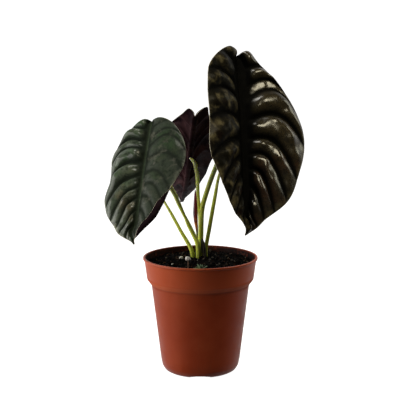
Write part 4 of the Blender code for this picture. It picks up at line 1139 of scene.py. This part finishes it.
def stalk_finish(base, middle, top):
    """Fleshy green with faint lengthwise streaks, from its base up to the blade."""
    mat = Material("green_stalk", Roughness=0.42, Specular_IOR_Level=0.35, Subsurface_Weight=0.8)
    mat.set("Subsurface Radius", (4.0 * MM, 4.5 * MM, 1.5 * MM))
    wander = mat.plus(mat.attribute("rise"), mat.patches(40, 0.3, 0.7, 0.05, -0.05))
    mat.ramp(wander, ((0.0, base), (0.14, middle), (0.50, middle), (0.90, top)))
    streak = mat.streaks((1300, 1300, 70), 4)
    mat.layer(mat.spread(streak, 0.48, 0.72, 0.0, 0.5), base)
    fleck = mat.streaks((900, 900, 300), 2)
    mat.layer(mat.spread(fleck, 0.66, 0.74, 0.0, 0.6), (0.06, 0.05, 0.015))
    return mat.finished(streak, 0.15 * MM, 0.6)


def new_leaf_finish():
    """The rolled leaf: blue purple on one side, dark red on the other, paler low down."""
    blue_purple, dark_red = (0.055, 0.028, 0.062), (0.34, 0.026, 0.030)
    mat = Material("new_leaf_red", blue_purple, Roughness=0.4, Specular_IOR_Level=0.5, Subsurface_Weight=0.1)
    mat.set("Subsurface Radius", (0.8 * MM, 0.3 * MM, 0.3 * MM))
    mat.layer(mat.spread(mat.axis("X"), -7.2 * MM, -5.0 * MM), dark_red)
    rise = mat.attribute("rise")
    mat.layer(mat.spread(rise, 0.42, 0.30), (0.10, 0.11, 0.022))
    orange = mat.times(mat.between(rise, 0.36, 0.44, 0.48, 0.60), mat.patches(260, 0.45, 0.6, detail=2))
    mat.layer(orange, (0.60, 0.18, 0.03))
    streak = mat.streaks((1500, 1500, 80), 4)
    mat.layer(mat.spread(streak, 0.5, 0.75, 0.0, 0.5), (0.025, 0.006, 0.010))
    return mat.finished(streak, 0.15 * MM, 0.6)


def sheath_finish():
    mat = Material("dried_sheath", Roughness=0.85)
    streak = mat.streaks((1100, 1100, 120), 5)
    stops = ((0.3, (0.010, 0.006, 0.002)), (0.58, (0.034, 0.025, 0.006)), (0.78, (0.17, 0.14, 0.10)))
    mat.ramp(streak, stops)
    return mat.finished(streak, 0.4 * MM)


def pale_finish(name, low, high, foot=None):
    """Matte and porous, for the white grains and the toadstool, whose stem is browner towards its foot."""
    mat = Material(name, low, Roughness=0.8)
    mat.speckle(high, 500, 0.35, 0.65, detail=4)
    if foot:
        cap = SOIL_CROWN_LEVEL + TOADSTOOL_HEIGHT - 3.6 * MM
        mat.layer(mat.spread(mat.axis("Z"), cap, cap - 5 * MM), foot)
    return mat.finished(mat.noise(1800), 0.15 * MM)


def seedling_finish():
    """Fresh green, and browner at the foot."""
    mat = Material("seedling_green", (0.05, 0.10, 0.040), Roughness=0.5, Subsurface_Weight=0.1)
    mat.set("Subsurface Radius", (0.5 * MM, 0.7 * MM, 0.3 * MM))
    mat.speckle((0.20, 0.28, 0.15), 260, 0.35, 0.65)
    mat.layer(mat.spread(mat.axis("Z"), 118.5 * MM, 115.5 * MM), (0.13, 0.08, 0.02))
    return mat.finished(mat.noise(1200), 0.1 * MM)


def corm_finish():
    mat = Material("corm_skin", (0.09, 0.045, 0.022), Roughness=0.85)
    ring = mat.streaks((90, 90, 700), 4)
    mat.layer(mat.spread(ring, 0.35, 0.65), (0.20, 0.12, 0.07))
    return mat.finished(ring, 0.5 * MM)


# Stage


def build_floor():
    """A plain white floor, which the pot's soft shadow falls on."""
    bpy.ops.mesh.primitive_circle_add(vertices=96, radius=8.0, fill_type="NGON", location=(0, 0, -0.2 * MM))
    floor = bpy.context.object
    floor.name = "floor"
    glow = {"Emission_Color": WHITE, "Emission_Strength": 1.0}
    mat = Material("floor_white", (0.35, 0.35, 0.35), Roughness=0.9, Specular_IOR_Level=0.0, **glow)
    floor.data.materials.append(mat.finished())
    floor.visible_diffuse = floor.visible_glossy = False


def build_lights():
    """A window at the left, and three softboxes: above, at the right in front, and at the right behind."""
    aim = (0.05, 0.0, 0.25)
    for name, place, target, size, power, color in (
        ("window", (-1.42, -0.18, 0.42), (0.0, 0.0, 0.18), (1.9, 1.1), 34, (1.0, 0.97, 0.92)),
        ("top", (-0.10, 0.0, 1.5), (0.0, 0.0, 0.25), (0.45, 0.45), 9, (1.0, 0.96, 0.88)),
        ("front", (0.82, -0.51, 1.40), aim, (0.50, 0.50), 10.5, (1.0, 0.91, 0.66)),
        ("edge", (1.30, 0.52, 0.86), aim, (0.42, 0.42), 2.0, (1.0, 0.98, 0.76)),
    ):
        data = bpy.data.lights.new(name, "AREA")
        data.shape = "RECTANGLE"
        data.size, data.size_y = size
        data.energy = power
        data.color = color
        light = linked(name, data)
        light.location = place
        light.rotation_euler = (Vector(target) - Vector(place)).to_track_quat("-Z", "Y").to_euler()


def build_world():
    """White where the camera sees it, and a dim even light on the plant."""
    world = bpy.data.worlds.new("studio")
    world.use_nodes = True
    tree = world.node_tree
    tree.nodes.clear()
    way = add_node(tree, "TexCoord", (), "Generated")
    behind = add_node(tree, "VectorMath", {0: way, 1: BACKDROP_WAY}, "Value", operation="DOT_PRODUCT")
    limits = {"From Min": 0.0, "From Max": 0.7, "To Min": LIGHT_AHEAD, "To Max": LIGHT_BEHIND}
    strength = add_node(tree, "MapRange", {"Value": behind, **limits})
    lighting = add_node(tree, "Background", {"Color": WHITE, "Strength": strength})
    seen = add_node(tree, "Background", {"Color": WHITE, "Strength": SEEN_STRENGTH})
    camera_ray = add_node(tree, "LightPath", (), "Is Camera Ray")
    shown = add_node(tree, "MixShader", {0: camera_ray, 1: lighting, 2: seen})
    add_node(tree, "OutputWorld", {"Surface": shown})
    bpy.context.scene.world = world


def build_camera():
    data = bpy.data.cameras.new("camera")
    data.sensor_width = SENSOR
    data.lens = LENS
    camera = linked("camera", data)
    camera.location = CAMERA_AT
    camera.rotation_euler = (radians(90 - CAMERA_PITCH), 0.0, 0.0)
    bpy.context.scene.camera = camera


def build_plant():
    purple = under_finish("purple_underside", (0.010, 0.003, 0.005), (0.048, 0.021, 0.023))
    dark = under_finish("dark_underside", (0.007, 0.003, 0.005), (0.014, 0.007, 0.009))
    rim = margin_finish()
    bronze = blade_finish("bronze_leaf", BRONZE)
    grey_green = blade_finish("grey_green_leaf", GREY_GREEN)
    green = stalk_finish((0.30, 0.34, 0.04), (0.72, 0.78, 0.12), (0.80, 0.84, 0.42))
    looks = {
        "right": (bronze, dark, "bronze_leaf"),
        "left": (grey_green, dark, "grey_green_leaf"),
        "rear": (bronze, purple, "purple_leaf"),
        "back_right": (bronze, dark, "bronze_leaf"),
        "back_left": (grey_green, dark, "grey_green_leaf"),
    }
    for seed, (key, (upper, under, slot)) in enumerate(looks.items()):
        blade = build_blade(f"fine_blade_{key}", LEAVES[key], (upper, under, rim), seed)
        stands_for(blade, slot, f"blade_{key}")
        stands_for(build_stalk(key, green), "green_stalk", f"stalk_{key}")
    for name, slot, route, section, finish, sides in (
        ("new_leaf", "new_leaf_red", NEW_LEAF, rolled_section, new_leaf_finish(), 40),
        ("dried_sheath", "dried_sheath", DRIED_SHEATH, sheath_section, sheath_finish(), 36),
    ):
        stands_for(swept(f"fine_{name}", *route_stations(route), section, finish, sides), slot, name)


def build_ground():
    stands_for(build_pot(pot_finish()), "terracotta_plastic", "pot")
    stands_for(build_soil(soil_finish()), "potting_soil", "soil")
    stands_for(build_crumbs(crumb_finish()), "potting_soil")
    white = pale_finish("perlite_white", (0.45, 0.42, 0.34), (0.72, 0.70, 0.63))
    for number, (x, y, radius) in enumerate(GRAINS):
        grain = build_grain(number, x * MM, y * MM, radius * MM, white)
        stands_for(grain, "perlite_white", f"perlite_{number}")
    cream = pale_finish("toadstool_cream", (0.50, 0.47, 0.41), (0.72, 0.70, 0.66), (0.16, 0.085, 0.050))
    stands_for(build_toadstool(cream), "toadstool_cream", "toadstool")
    stands_for(build_seedling(seedling_finish()), "seedling_green", "seedling")
    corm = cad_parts["corm"]
    corm.data.materials.clear()
    corm.data.materials.append(corm_finish())


build_plant()
build_ground()
build_floor()
build_lights()
build_world()
build_camera()
bpy.context.scene.view_settings.view_transform = "Standard"
